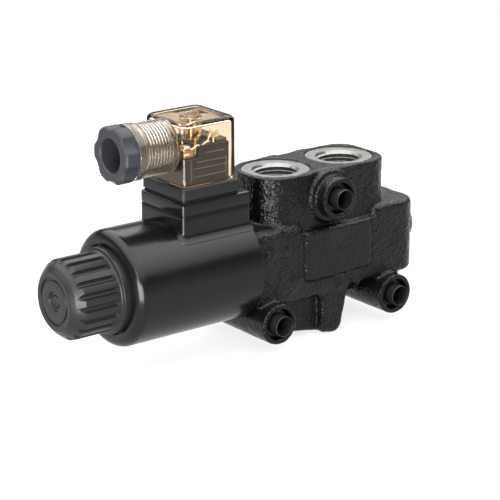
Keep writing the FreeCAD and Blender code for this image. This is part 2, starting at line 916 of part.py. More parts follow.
def override_pin():
    """Manual override pin, held in by a collar behind the tube plug."""
    body = new_body("OverridePin")
    inner = "tube_plug_start + fit_gap"
    turned(body, [
        ("override_end", "0"),
        ("override_end", "override_radius - override_chamfer"),
        ("override_end + override_chamfer", "override_radius"),
        (inner, "override_radius"),
        (inner, "override_collar"),
        (f"{inner} + override_collar_length", "override_collar"),
        (f"{inner} + override_collar_length", "0"),
    ], "OverridePinTurned")
    keep("override_pin", body)


ARMATURE_END = "tube_plug_start + override_collar_length + 2 * fit_gap"


def armature():
    """Sliding iron core with a bore for the push pin and a vent groove."""
    body = new_body("Armature")
    front = f"{ARMATURE_END} + armature_length"
    turned(body, [
        (ARMATURE_END, "0"),
        (ARMATURE_END, "tube_radius - tube_wall - armature_gap"),
        (front, "tube_radius - tube_wall - armature_gap"),
        (front, "pin_radius + pin_gap / 2"),
        (f"{front} - armature_socket", "pin_radius + pin_gap / 2"),
        (f"{front} - armature_socket", "0"),
    ], "ArmatureTurned")
    pocket(body, "ArmatureVent",
           lambda s: circle(s, "0", "tube_radius - tube_wall - armature_gap", "armature_vent"),
           "armature_length", "YZ_Plane", front)
    keep("armature", body)


def push_pin():
    """Pin that carries the armature's push to the spool."""
    body = new_body("PushPin")
    start = f"{ARMATURE_END} + armature_length - armature_socket + fit_gap"
    turned(body, [
        (start, "0"),
        (start, "pin_radius"),
        ("spool_left - fit_gap", "pin_radius"),
        ("spool_left - fit_gap", "0"),
    ], "PushPinTurned")
    keep("push_pin", body)


def coil_seals():
    """O-rings that keep water out of both ends of the coil's bore."""
    ring("coil_seal", "coil_seal_radius", "coil_seal_section / 2", Z_TO_X,
         ("block_left - coil_seal_section / 2", "0", "0"))
    ring("nut_seal", "coil_seal_radius", "coil_seal_section / 2", Z_TO_X,
         ("nut_spigot_end + coil_seal_section / 2 + fit_gap", "0", "0"))


def ring_nut():
    """Fluted ring nut on the end of the tube, with a recessed face round the override pin."""
    body = new_body("RingNut")
    turned(body, [
        ("nut_front", "nut_ring_radius"),
        ("nut_front", "nut_face_radius"),
        ("nut_front + nut_chamfer", "nut_face_radius + nut_chamfer_width"),
        ("nut_chamfer_start", "nut_radius"),
        ("nut_flange_end", "nut_radius"),
        ("nut_flange_end", "nut_flange_radius"),
        ("nut_rear - nut_flange_chamfer", "nut_flange_radius"),
        ("nut_rear", "nut_flange_radius - nut_flange_chamfer"),
        ("nut_rear", "nut_spigot_radius"),
        ("nut_spigot_end", "nut_spigot_radius"),
        ("nut_spigot_end", "nut_bore"),
        ("nut_front + nut_face_wall", "nut_bore"),
        ("nut_front + nut_face_wall", "nut_hole_radius"),
        ("nut_front + nut_recess_depth", "nut_hole_radius"),
        ("nut_front + nut_recess_depth", "nut_recess_radius"),
        ("nut_front", "nut_recess_radius"),
        ("nut_front", "nut_ring_radius - nut_ring_width"),
        ("nut_front + nut_ring_depth", "nut_ring_radius - nut_ring_width"),
        ("nut_front + nut_ring_depth", "nut_ring_radius"),
    ], "RingNutTurned")
    flute = pocket(body, "Flute", lambda s: circle(s, "0", "flute_circle", "flute_radius"),
                   "flute_rear - nut_front + overcut", "YZ_Plane", "flute_rear")
    polar(body, flute, "X_Axis", "flute_count")
    keep("ring_nut", body)


# ---- coil --------------------------------------------------------------------------------

def coil_housing():
    """Moulded shell round the magnet, with the tower that carries the connector."""
    body = new_body("CoilHousing")
    turned(body, [
        ("coil_left", "0"),
        ("coil_left", "coil_radius"),
        ("coil_right", "coil_radius"),
        ("coil_right", "0"),
    ], "CoilBarrel")
    left = value("coil_left")
    round_edges(body, "CoilRim", lambda e: near(edge_middle(e).x, left), "coil_rim")
    outline = rectangle("tower_box_left", "coil_right", "-tower_box_half", "tower_box_half")
    pad(body, "TowerBox", lambda s: polygon(s, outline), "tower_box_top", "XY_Plane", "0")
    reach = value("coil_radius")
    round_edges(body, "TowerCorners",
                lambda e: along(e, 2) and edge_middle(e).z > 0
                and e.BoundBox.ZMax > reach, "tower_box_corner")
    groove_high = "tower_groove + tower_groove_height"
    band = "tower_box_half - tower_groove_depth"
    for side, name in (("-tower_box_half - overcut", "GrooveFront"), (band, "GrooveBack")):
        pocket(body, name,
               lambda s: polygon(s, rectangle("tower_box_left - overcut", "coil_right + overcut",
                                              side, f"{side} + tower_groove_depth + overcut")),
               "tower_groove_height", "XY_Plane", groove_high)
    pocket(body, "GrooveLeft",
           lambda s: polygon(s, rectangle("tower_box_left - overcut",
                                          "tower_box_left + tower_groove_depth",
                                          "-tower_box_half - overcut", "tower_box_half + overcut")),
           "tower_groove_height", "XY_Plane", groove_high)
    turned(body, [
        ("coil_left - overcut", "0"),
        ("coil_left - overcut", "coil_recess_radius"),
        ("nut_rear + joint_gap", "coil_recess_radius"),
        ("nut_rear + joint_gap", "coil_socket_radius"),
        ("coil_left + coil_socket_depth", "coil_socket_radius"),
        ("coil_left + coil_socket_depth", "yoke_radius + fit_gap"),
        ("coil_right - coil_wall", "yoke_radius + fit_gap"),
        ("coil_right - coil_wall", "coil_seal_radius + coil_seal_section"),
        ("coil_right + overcut", "coil_seal_radius + coil_seal_section"),
        ("coil_right + overcut", "0"),
    ], "MagnetSpace", groove=True)
    pocket(body, "InsertHole", lambda s: circle(s, "connector_middle", "0", "insert_radius"),
           "insert_depth", "XY_Plane", "tower_box_top")
    keep("coil_housing", body)


def magnet_span():
    """Start and end of the space inside the coil housing."""
    return "coil_left + coil_socket_depth + fit_gap", "coil_right - coil_wall - fit_gap"


def yoke():
    """Steel sleeve and two end washers that close the magnetic path."""
    start, end = magnet_span()
    sleeve = new_body("YokeSleeve")
    turned(sleeve, [
        (f"{start} + washer_thickness", "yoke_bore"),
        (f"{start} + washer_thickness", "yoke_radius"),
        (f"{end} - washer_thickness", "yoke_radius"),
        (f"{end} - washer_thickness", "yoke_bore"),
    ], "YokeSleeveTurned")
    keep("yoke_sleeve", sleeve)
    washers = []
    for name, near_side in (("Front", start), ("Rear", f"{end} - washer_thickness")):
        washer = new_body("YokeWasher" + name)
        turned(washer, [
            (near_side, "coil_bore"),
            (near_side, "yoke_radius"),
            (f"{near_side} + washer_thickness", "yoke_radius"),
            (f"{near_side} + washer_thickness", "coil_bore"),
        ], f"YokeWasher{name}Turned")
        washers.append(washer)
    keep("yoke_washers", group("YokeWashers", washers))


def winding():
    """Plastic bobbin and the copper winding on it."""
    start, end = magnet_span()
    left, right = f"{start} + washer_thickness", f"{end} - washer_thickness"
    core = "coil_bore + bobbin_wall"
    bobbin = new_body("CoilBobbin")
    turned(bobbin, [
        (left, "coil_bore"),
        (left, "yoke_bore - fit_gap"),
        (f"{left} + bobbin_flange", "yoke_bore - fit_gap"),
        (f"{left} + bobbin_flange", core),
        (f"{right} - bobbin_flange", core),
        (f"{right} - bobbin_flange", "yoke_bore - fit_gap"),
        (right, "yoke_bore - fit_gap"),
        (right, "coil_bore"),
    ], "CoilBobbinTurned")
    keep("coil_bobbin", bobbin)
    copper = new_body("CoilWinding")
    turned(copper, [
        (f"{left} + bobbin_flange + fit_gap", f"{core} + fit_gap"),
        (f"{left} + bobbin_flange + fit_gap", "winding_radius"),
        (f"{right} - bobbin_flange - fit_gap", "winding_radius"),
        (f"{right} - bobbin_flange - fit_gap", f"{core} + fit_gap"),
    ], "CoilWindingTurned")
    keep("coil_winding", copper)


BLADES = [
    ("-blade_offset", "0", "blade_thickness", "blade_width"),
    ("blade_offset", "0", "blade_thickness", "blade_width"),
    ("0", "blade_offset", "blade_width", "blade_thickness"),
]


def contact_blades():
    """Three flat blades that stand up from the coil's tower."""
    blades = []
    for number, (across, depth, wide, deep) in enumerate(BLADES):
        middle = f"connector_middle + {across}"
        blades.append(box(f"Blade{number}", f"{middle} - {wide} / 2", f"{middle} + {wide} / 2",
                          f"{depth} - {deep} / 2", f"{depth} + {deep} / 2",
                          "tower_box_top + fit_gap", "tower_box_top + blade_reach"))
    keep("contact_blades", group("ContactBlades", blades))


def thread_insert():
    """Brass insert in the tower for the connector's fixing screw."""
    body = new_body("ThreadInsert")
    turned(body, [
        ("-insert_depth", "screw_radius + fit_gap"),
        ("-insert_depth", "insert_radius - fit_gap"),
        ("0", "insert_radius - fit_gap"),
        ("0", "screw_radius + fit_gap"),
    ], "ThreadInsertTurned")
    keep("thread_insert", body, TO_TOP, ("connector_middle", "0", "tower_box_top"))


# ---- connector ---------------------------------------------------------------------------

def square_block(body, name, half, low, high):
    """A square block about the connector's axis."""
    outline = rectangle(f"connector_middle - {half}", f"connector_middle + {half}",
                        f"-{half}", half)
    return pad(body, name, lambda s: polygon(s, outline), f"{high} - ({low})",
               "XY_Plane", low)


def screw_hole(body, low, high):
    pocket(body, body.Name + "ScrewHole",
           lambda s: circle(s, "connector_middle", "0", "screw_radius + screw_gap"),
           f"{high} - ({low})", "XY_Plane", high)


def blade_slots(body, top, depth):
    """Slots that clear the three blades."""
    def draw(sketch):
        for across, back, wide, deep in BLADES:
            middle = f"connector_middle + {across}"
            half_wide = f"({wide} / 2 + blade_slot_gap)"
            half_deep = f"({deep} / 2 + blade_slot_gap)"
            polygon(sketch, rectangle(f"{middle} - {half_wide}", f"{middle} + {half_wide}",
                                      f"{back} - {half_deep}", f"{back} + {half_deep}"))
    pocket(body, body.Name + "Slots", draw, depth, "XY_Plane", top)


def connector_gasket():
    """Flat rubber gasket between the tower and the connector."""
    body = new_body("ConnectorGasket")
    top = "tower_box_top + gasket_height"
    square_block(body, "GasketBlock", "gasket_half", "tower_box_top", top)
    screw_hole(body, "tower_box_top", top)
    blade_slots(body, top, "gasket_height")
    keep("connector_gasket", body)


def contact_carrier():
    """Carrier block: a flange under the cap and a stepped block inside it."""
    body = new_body("ContactCarrier")
    half = "(connector_half - carrier_margin)"
    low = "tower_box_top + gasket_height"
    flange_top = "connector_low - fit_gap"
    square_block(body, "CarrierFlange", "flange_half", low, flange_top)
    square_block(body, "CarrierBlock", half, low, "carrier_top")
    pocket(body, "CarrierStep",
           lambda s: polygon(s, rectangle(
               f"connector_middle - {half} - overcut",
               "connector_middle + carrier_step_place",
               f"-{half} - overcut", f"{half} + overcut")),
           "carrier_top - carrier_low_step", "XY_Plane", "carrier_top")
    screw_hole(body, low, "carrier_top")
    blade_slots(body, f"{low} + blade_slot_depth", "blade_slot_depth")
    keep("contact_carrier", body)


def terminals():
    """Three terminal blocks on the carrier's lower step, each with its screw."""
    blocks = []
    screws = []
    for number, shift in enumerate(("-terminal_pitch", "0", "terminal_pitch")):
        edge = "connector_middle - connector_half + carrier_margin"
        middle = f"{edge} + terminal_size / 2 + carrier_inset"
        low = "carrier_low_step + fit_gap"
        blocks.append(box(f"Terminal{number}", f"{middle} - terminal_size / 2",
                          f"{middle} + terminal_size / 2",
                          f"{shift} - terminal_size / 2", f"{shift} + terminal_size / 2",
                          low, f"{low} + terminal_height"))
        screws.append(cylinder(f"TerminalScrew{number}", "terminal_screw_radius",
                               "terminal_screw_height", UPRIGHT,
                               (middle, shift, f"{low} + terminal_height + fit_gap")))
    keep("contact_terminals", group("ContactTerminals", blocks))
    keep("terminal_screws", group("TerminalScrews", screws))


def indicator():
    """Small circuit board on the carrier with the indicator lamp."""
    low = "carrier_top + fit_gap"
    right = "connector_middle + connector_half - carrier_margin - carrier_inset"
    body = new_body("CircuitBoard")
    outline = rectangle(f"{right} - board_length", right, "-board_width / 2",
                        "board_width / 2")
    pad(body, "Board", lambda s: polygon(s, outline), "board_thickness", "XY_Plane", low)
    keep("circuit_board", body)
    lamp = new_body("IndicatorLamp")
    pad(lamp, "Lamp",
        lambda s: circle(s, f"{right} - lamp_radius - lamp_inset", "-board_width / 4", "lamp_radius"),
        "lamp_height", "XY_Plane", f"{low} + board_thickness + fit_gap")
    top = value(f"{low} + board_thickness + fit_gap + lamp_height")
    round_edges(lamp, "LampDome", lambda e: near(edge_middle(e).z, top), "lamp_dome")
    keep("indicator_lamp", lamp)


def connector_housing():
    """Clear cap with a screw well in its roof and a cable neck at its left."""
    body = new_body("ConnectorHousing")
    square_block(body, "Cap", "connector_half", "connector_low", "connector_top")
    low = value("connector_low")

    def outer_edge(edge):
        return not near(edge_middle(edge).z, low)

    round_edges(body, "CapEdges", outer_edge, "connector_corner")
    inner = "(connector_half - connector_wall)"
    outline = rectangle(f"connector_middle - {inner}", f"connector_middle + {inner}",
                        f"-{inner}", inner)
    ceiling = "connector_top - connector_roof"
    pocket(body, "CapHollow", lambda s: polygon(s, outline), f"{ceiling} - connector_low",
           "XY_Plane", "connector_low", reverse=True)
    pad(body, "Well", lambda s: circle(s, "connector_middle", "0", "well_radius"),
        "connector_top - connector_roof / 2 - well_low", "XY_Plane", "well_low")
    pad(body, "Neck", lambda s: circle(s, "0", "entry_height", "neck_radius"),
        "connector_middle - connector_half + connector_wall / 2 - neck_end", "YZ_Plane",
        "neck_end")
    pad(body, "NeckRim", lambda s: circle(s, "0", "entry_height", "neck_rim_radius"),
        "neck_rim_depth", "YZ_Plane", "neck_end")
    pocket(body, "NeckBore", lambda s: circle(s, "0", "entry_height", "neck_bore"),
           "neck_inner_end + connector_wall - neck_end + overcut", "YZ_Plane",
           "neck_inner_end + connector_wall")
    pocket(body, "NeckMouth", lambda s: circle(s, "0", "entry_height", "neck_mouth_radius"),
           "neck_mouth_depth + overcut", "YZ_Plane", "neck_end + neck_mouth_depth")
    pocket(body, "WellRecess",
           lambda s: circle(s, "connector_middle", "0", "well_recess"),
           "well_recess_depth", "XY_Plane", "connector_top")
    screw_hole(body, "well_low", "connector_top")
    keep("connector_housing", body)


def fixing_screw():
    """Long central screw that holds the connector on the coil."""
    body = new_body("FixingScrew")
    seat = "connector_top - well_recess_depth + fit_gap"
    turned(body, [
        ("screw_low", "0"),
        ("screw_low", "screw_radius"),
        (seat, "screw_radius"),
        (seat, "screw_head_radius"),
        (f"{seat} + screw_head_height", "screw_head_radius"),
        (f"{seat} + screw_head_height", "0"),
    ], "FixingScrewTurned")
    slot = rectangle(f"{seat} + screw_head_height - driver_slot_depth",
                     f"{seat} + screw_head_height + overcut",
                     "-driver_slot_half", "driver_slot_half")
    pocket(body, "DriverSlot", lambda s: polygon(s, slot), "screw_head_radius * 2 + overcut",
           "XZ_Plane", "screw_head_radius + overcut / 2")
    keep("fixing_screw", body, TO_TOP, ("connector_middle", "0", "0"))


def gland_nut():
    """Hollow lobed screw that squeezes the cable seal inside the neck."""
    body = new_body("GlandNut")
    turned(body, [
        ("gland_end", "gland_bore"),
        ("gland_end", "gland_radius - gland_chamfer"),
        ("gland_end + gland_chamfer", "gland_radius"),
        ("gland_head", "gland_radius"),
        ("gland_head", "gland_collar_radius"),
        ("gland_collar_end", "gland_collar_radius"),
        ("gland_collar_end", "gland_shank"),
        ("gland_shank_end", "gland_shank"),
        ("gland_shank_end", "gland_bore"),
    ], "GlandTurned")
    scallop = pocket(body, "Scallop",
                     lambda s: circle(s, "0", "gland_scallop_circle", "gland_scallop"),
                     "gland_head - gland_end + overcut", "YZ_Plane", "gland_head")
    polar(body, scallop, "X_Axis", "gland_lobes")
    keep("gland_nut", body, at=("0", "0", "entry_height"))


def gland_packing():
    """Washer and rubber grommet in front of the gland nut."""
    washer = new_body("GlandWasher")
    start = "gland_shank_end + fit_gap"
    seal_start = f"{start} + gland_washer_thickness + fit_gap"
    turned(washer, [
        (start, "gland_washer_bore"),
        (start, "gland_shank"),
        (f"{start} + gland_washer_thickness", "gland_shank"),
        (f"{start} + gland_washer_thickness", "gland_washer_bore"),
    ], "GlandWasherTurned")
    keep("gland_washer", washer, at=("0", "0", "entry_height"))
    seal = new_body("GlandSeal")
    turned(seal, [
        (seal_start, "gland_seal_bore"),
        (seal_start, "gland_shank"),
        ("gland_seal_end", "gland_shank"),
        ("gland_seal_end", "gland_seal_bore"),
    ], "GlandSealTurned")
    keep("gland_seal", seal, at=("0", "0", "entry_height"))


# ---- build, check and write --------------------------------------------------------------

def build():
    for make in (valve_body, mounting_sleeves, face_seals, gallery_plug, spool, spring_seat,
                 return_spring, end_plug, end_plug_seal, pole_piece, core_tube, tube_plug,
                 override_seal, override_pin, armature, push_pin, coil_seals, ring_nut,
                 coil_housing, yoke, winding, contact_blades, thread_insert,
                 connector_gasket, contact_carrier, terminals, indicator,
                 connector_housing, fixing_screw, gland_nut, gland_packing):
        make()
    doc.recompute()


def check():
    """Stop if any object failed or any sub-part isn't a valid solid."""
    for thing in doc.Objects:
        if "Invalid" in thing.State or "Error" in thing.State:
            raise RuntimeError(f"{thing.Name} ({thing.Label}) failed: {thing.State}")
    for name, thing in sub_parts.items():
        shape = thing.Shape
        if shape.isNull() or not shape.isValid() or not shape.Solids:
            raise RuntimeError(f"{name} has no valid solid")


def write():
    os.makedirs("parts", exist_ok=True)
    for name, thing in sub_parts.items():
        thing.Shape.exportStep(f"parts/{name}.step")
        print(f"{name}: {len(thing.Shape.Solids)} solid(s), {thing.Shape.Volume:.1f} mm3")


build()
check()
write()
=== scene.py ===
"""Looks of a solenoid directional valve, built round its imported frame.

Points are worked out in millimetres about the spool axis: x along the spool towards the end
plug, y away from the viewer towards the mounting plate, z up. set_down() moves them into the
frame, in metres.
"""

import json
import math

import bmesh
import bpy
import numpy as np
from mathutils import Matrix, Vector


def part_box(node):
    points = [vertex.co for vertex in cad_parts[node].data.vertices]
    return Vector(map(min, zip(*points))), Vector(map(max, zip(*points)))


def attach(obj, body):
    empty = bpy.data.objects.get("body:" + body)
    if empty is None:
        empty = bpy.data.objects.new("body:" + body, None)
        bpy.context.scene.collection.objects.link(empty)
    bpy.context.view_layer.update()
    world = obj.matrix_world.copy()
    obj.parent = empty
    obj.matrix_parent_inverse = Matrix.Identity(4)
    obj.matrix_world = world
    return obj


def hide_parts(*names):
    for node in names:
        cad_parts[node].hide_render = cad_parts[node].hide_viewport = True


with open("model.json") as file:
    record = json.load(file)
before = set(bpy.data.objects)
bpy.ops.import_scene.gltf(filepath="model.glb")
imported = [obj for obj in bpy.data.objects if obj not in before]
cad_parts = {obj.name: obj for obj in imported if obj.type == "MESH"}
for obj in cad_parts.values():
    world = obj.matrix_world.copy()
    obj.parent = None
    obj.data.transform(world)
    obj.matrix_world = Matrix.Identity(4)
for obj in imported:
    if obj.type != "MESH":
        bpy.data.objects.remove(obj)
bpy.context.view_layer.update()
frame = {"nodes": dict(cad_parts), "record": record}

MM = 0.001
TURN = 2 * math.pi


def span(node):
    """Lowest and highest corner of a CAD node, in millimetres about the spool axis."""
    low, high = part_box(node)
    shift = np.array([0, AXIS_Y, 0])
    return np.array(low) / MM - shift, np.array(high) / MM - shift


AXIS_Y = 0.0
spool_low, spool_high = span("spool")
AXIS_Y = float(spool_low[1] + spool_high[1]) / 2


def set_down(points):
    """Millimetres about the spool axis to metres in the frame."""
    return (np.asarray(points, float) + [0, AXIS_Y, 0]) * MM


# ---- driving places, read from the frame ---------------------------------------------------

body_low, body_high = span("valve_body")
coil_low, coil_high = span("coil_housing")
nut_low, nut_high = span("ring_nut")
cap_high = span("connector_housing")[1]
gland_low, gland_high = span("gland_nut")
gasket_low, gasket_high = span("connector_gasket")
plug_low, plug_high = span("end_plug")
sleeve_low, sleeve_high = span("mounting_sleeves")

BODY_RIGHT = 50.0
BODY_LEFT = -42.9
BODY_TOP = 16.5
BODY_BOTTOM = -17.5
BODY_FRONT = -19.0
REAR = float(body_high[1])
PORT_FACE = float(body_high[2])
PORT_PITCH = 36.0
SPOT_RADIUS = 15.2
BOSS_MIDDLE = float(sleeve_low[0] + sleeve_high[0]) / 2
BOSS_SPREAD = float(sleeve_high[0] - sleeve_low[0]) / 2 - 6.6
BOSS_LOW = -25.3
BOSS_HIGH = 25.7
BOSS_RADIUS = 9.2
BOSS_FRONT = -24.0
CONNECTOR_X = float(gasket_low[0] + gasket_high[0]) / 2
ENTRY_Z = float(gland_low[2] + gland_high[2]) / 2
COIL_RADIUS = float(-coil_low[1])

PORT_HALF = 16.5
SLEEVE_HOLE = 4.75
PORT_COUNTERBORE = 11.6
REAR_SEAL_RADIUS = 7.4
REAR_PORT_RADIUS = 4.0
NUT_REAR = -106.4
FLUTE_END = -112.2
NECK_MOUTH = -97.3
GLAND_HEAD = -97.6
GLAND_COLLAR_END = -93.45
GLAND_RADIUS = 12.4
CAP_LOW = 41.45
CAP_TOP = 68.7
GASKET_TOP = 41.35
POLES = (-7.2, 0.0, 7.2)
OUTSIDE = 60.0

BOSSES = [
    (BOSS_MIDDLE - BOSS_SPREAD, BOSS_LOW),
    (BOSS_MIDDLE + BOSS_SPREAD, BOSS_LOW),
    (BOSS_MIDDLE, BOSS_HIGH),
]


# ---- shader maths --------------------------------------------------------------------------

class Signal:
    """One output socket. Sums, products and the like of signals add Math nodes."""

    def __init__(self, wiring, socket):
        self.wiring = wiring
        self.socket = socket

    def joined(self, operation, a, b):
        return self.wiring.node("ShaderNodeMath", {"operation": operation}, [a, b])

    def __add__(self, other):
        return self.joined("ADD", self, other)

    def __radd__(self, other):
        return self.joined("ADD", other, self)

    def __sub__(self, other):
        return self.joined("SUBTRACT", self, other)

    def __rsub__(self, other):
        return self.joined("SUBTRACT", other, self)

    def __mul__(self, other):
        return self.joined("MULTIPLY", self, other)

    def __rmul__(self, other):
        return self.joined("MULTIPLY", other, self)

    def above(self, level, width):
        """0 below the level and 1 above it, with a soft step of the given width."""
        return self.wiring.node("ShaderNodeMapRange", {"interpolation_type": "SMOOTHSTEP"},
                                [self, level - width / 2, level + width / 2])


class Wiring:
    """A node tree and the calls that add nodes to it."""

    def __init__(self, tree):
        self.tree = tree

    def feed(self, socket, value):
        """Links a signal to a socket, or sets a number or colour on it."""
        if isinstance(value, Signal):
            self.tree.links.new(value.socket, socket)
        elif hasattr(value, "__len__") and len(value) == 3 and socket.type == "RGBA":
            socket.default_value = (*value, 1.0)
        else:
            socket.default_value = value

    def node(self, kind, settings, values, output=0):
        """Adds a node: its settings first, then its inputs in order or by name."""
        made = self.tree.nodes.new(kind)
        for word, value in settings.items():
            if word == "stops":
                while len(made.color_ramp.elements) < len(value):
                    made.color_ramp.elements.new(0.5)
                for stop, (position, colour) in zip(made.color_ramp.elements, value):
                    stop.position = position
                    stop.color = (*colour, 1.0)
            else:
                setattr(made, word, value)
        pairs = values.items() if isinstance(values, dict) else enumerate(values)
        for key, value in pairs:
            self.feed(made.inputs[key], value)
        return Signal(self, made.outputs[output])

    def blend(self, share, first, second):
        """Colour between two colours or signals."""
        made = self.tree.nodes.new("ShaderNodeMix")
        made.data_type = "RGBA"
        self.feed(made.inputs[0], share)
        self.feed(made.inputs[6], first)
        self.feed(made.inputs[7], second)
        return Signal(self, made.outputs[2])


class Paint(Wiring):
    """A material with one Principled shader, filled in by its methods."""

    def __init__(self, name, **constants):
        self.material = bpy.data.materials.new(name)
        self.material.use_nodes = True
        super().__init__(self.material.node_tree)
        self.shader = self.tree.nodes["Principled BSDF"]
        self.set(**constants)
        self.place = self.node("ShaderNodeTexCoord", {}, [], output="Object")

    def set(self, **values):
        """Puts numbers, colours or signals on the shader: base_color=... names Base Color."""
        for word, value in values.items():
            wanted = word.replace("_", " ").lower()
            socket = next(s for s in self.shader.inputs if s.name.lower() == wanted)
            self.feed(socket, value)
        return self

    def noise(self, size, detail=3.0, roughness=0.5, place=None, distortion=0.0):
        """Noise from 0 to 1 whose lumps are about size millimetres wide."""
        return self.node("ShaderNodeTexNoise", {}, {
            "Vector": place or self.place, "Scale": 1 / (size * MM), "Detail": detail,
            "Roughness": roughness, "Distortion": distortion})

    def grains(self, size, place=None):
        """Distance to the nearest of many scattered points, size millimetres apart."""
        return self.node("ShaderNodeTexVoronoi", {}, {
            "Vector": place or self.place, "Scale": 1 / (size * MM)}, output="Distance")

    def attribute(self, name):
        """A number kept on the mesh's vertices."""
        return self.node("ShaderNodeAttribute", {"attribute_name": name}, [], output="Fac")

    def bump(self, height, depth, strength=1.0):
        """Turns a 0 to 1 height into a normal; depth is in millimetres."""
        made = self.node("ShaderNodeBump", {}, {
            "Height": height, "Distance": depth * MM, "Strength": strength})
        return self.set(normal=made)


def painted_casting():
    """Thick glossy black paint over sand-cast iron, with bare machined faces."""
    paint = Paint("painted_casting", specular_ior_level=0.17)
    sand = paint.noise(1.3, 2.0, 0.5)
    fine = paint.grains(0.9)
    lumps = paint.noise(4.5, 2.0, 0.5)
    bare = paint.attribute("bare")
    calm = paint.attribute("calm")
    height = (sand * 0.8 + lumps * 0.3 + fine * 0.3) * (1 - calm * 0.6)
    smooth_height = paint.noise(0.25, 2.0) * 0.12
    painted = 1 - bare
    dust = paint.noise(14.0, 3.0).above(0.62, 0.2)
    black = paint.blend(dust * 0.5, (0.0020, 0.0021, 0.0024), (0.0075, 0.0074, 0.007))
    metal = paint.blend(paint.noise(1.4, 3.0), (0.30, 0.29, 0.28), (0.44, 0.43, 0.41))
    roughness = 0.10 + sand * 0.16 + dust * 0.1
    paint.set(base_color=paint.blend(bare, black, metal),
              metallic=bare * 0.9,
              roughness=roughness * painted + bare * 0.36)
    return paint.bump(height * painted + smooth_height * bare, 0.6).material


def machined_steel():
    """Bare turned iron: fine rings round the axis from the tool."""
    paint = Paint("machined_steel", metallic=1.0)
    turned = paint.attribute("along")
    ring_place = paint.node("ShaderNodeCombineXYZ", {}, [turned * MM, 0.0, 0.0])
    rings = paint.noise(0.16, 3.0, 0.6, place=ring_place)
    cloud = paint.noise(2.4, 3.0)
    paint.set(base_color=paint.blend(cloud, (0.13, 0.127, 0.12), (0.22, 0.214, 0.204)),
              roughness=0.34 + rings * 0.14 + cloud * 0.08)
    return paint.bump(rings, 0.03).material


def blackened_steel():
    paint = Paint("blackened_steel", metallic=0.75)
    cloud = paint.noise(1.8, 4.0, 0.6)
    paint.set(base_color=paint.blend(cloud, (0.012, 0.012, 0.013), (0.035, 0.034, 0.034)),
              roughness=0.30 + cloud * 0.16)
    return paint.bump(paint.noise(0.3, 3.0), 0.03).material


def plated_steel():
    paint = Paint("plated_steel", metallic=1.0)
    cloud = paint.noise(1.1, 3.0)
    paint.set(base_color=paint.blend(cloud, (0.52, 0.51, 0.48), (0.74, 0.73, 0.70)),
              roughness=0.22 + cloud * 0.14)
    return paint.bump(paint.noise(0.22, 2.0), 0.015).material


def glossy_moulding():
    """Polished black moulding with a faint ripple and dulled patches."""
    paint = Paint("glossy_moulding", specular_ior_level=0.19)
    patches = paint.noise(9.0, 3.0, 0.55)
    specks = paint.noise(0.35, 2.0)
    paint.set(base_color=paint.blend(patches, (0.0018, 0.0019, 0.0021), (0.0035, 0.0035, 0.0038)),
              roughness=0.14 + patches * 0.08 + specks * 0.05)
    height = paint.noise(5.0, 1.0) * 0.5 + specks * 0.06
    return paint.bump(height, 0.05).material


def grained_moulding(name, dark, light, roughness, grain=0.22, depth=0.035):
    """Satin glass-filled plastic with a fine grain."""
    paint = Paint(name, specular_ior_level=0.2)
    cloud = paint.noise(4.0, 3.0)
    fine = paint.noise(grain, 3.0, 0.6)
    paint.set(base_color=paint.blend(cloud * 0.6 + fine * 0.4, dark, light),
              roughness=roughness + fine * 0.12 + cloud * 0.06)
    return paint.bump(fine * 0.7 + cloud * 0.3, depth).material


def clear_moulding():
    """Smoky tan clear plastic: it takes more light the longer the way through it."""
    paint = Paint("clear_moulding", ior=1.3, transmission_weight=1.0, specular_ior_level=0.16)
    haze = paint.noise(6.0, 3.0)
    paint.set(base_color=paint.blend(haze, (0.95, 0.88, 0.79), (0.97, 0.92, 0.85)),
              roughness=0.02 + haze * 0.05)
    depth = paint.node("ShaderNodeVolumeAbsorption", {}, {
        "Color": (0.80, 0.68, 0.50), "Density": 230.0})
    paint.feed(paint.tree.nodes["Material Output"].inputs["Volume"], depth)
    return paint.bump(paint.noise(3.5, 2.0), 0.03).material


def misty_moulding():
    """The same plastic where a thread scatters a little of the light."""
    paint = Paint("misty_moulding", ior=1.34, transmission_weight=0.97, specular_ior_level=0.3)
    haze = paint.noise(2.5, 3.0)
    paint.set(base_color=paint.blend(haze, (0.62, 0.54, 0.43), (0.74, 0.66, 0.54)),
              roughness=0.04 + haze * 0.08)
    return paint.bump(paint.noise(1.5, 2.0), 0.03).material


def milky_lamp():
    paint = Paint("milky_lamp", ior=1.5, transmission_weight=0.35)
    cloud = paint.noise(0.9, 2.0)
    paint.set(base_color=paint.blend(cloud, (0.75, 0.70, 0.60), (0.9, 0.87, 0.80)),
              roughness=0.15 + cloud * 0.1)
    return paint.bump(cloud, 0.01).material


def copper_wire():
    """Wound wire: round turns side by side along the coil."""
    paint = Paint("copper_wire", metallic=0.9)
    turns = paint.node("ShaderNodeTexWave", {"bands_direction": "X"}, {
        "Vector": paint.place, "Scale": 1 / (3.0 * MM), "Distortion": 0.2})
    paint.set(base_color=paint.blend(turns, (0.30, 0.09, 0.03), (0.72, 0.30, 0.13)),
              roughness=0.3 + turns * 0.1)
    return paint.bump(turns, 0.2).material


def circuit_lacquer():
    paint = Paint("circuit_lacquer", specular_ior_level=0.5)
    tracks = paint.grains(1.6).above(0.35, 0.06)
    paint.set(base_color=paint.blend(tracks, (0.014, 0.018, 0.010), (0.03, 0.034, 0.018)),
              roughness=0.3 + tracks * 0.1)
    return paint.bump(tracks, 0.03).material


def studio_floor():
    paint = Paint("studio_floor", specular_ior_level=0.2)
    cloud = paint.noise(60.0, 2.0)
    paint.set(base_color=paint.blend(cloud, (0.12, 0.12, 0.119), (0.13, 0.13, 0.13)),
              roughness=0.85 + cloud * 0.1, emission_color=(1.0, 1.0, 1.0),
              emission_strength=0.8)
    return paint.material


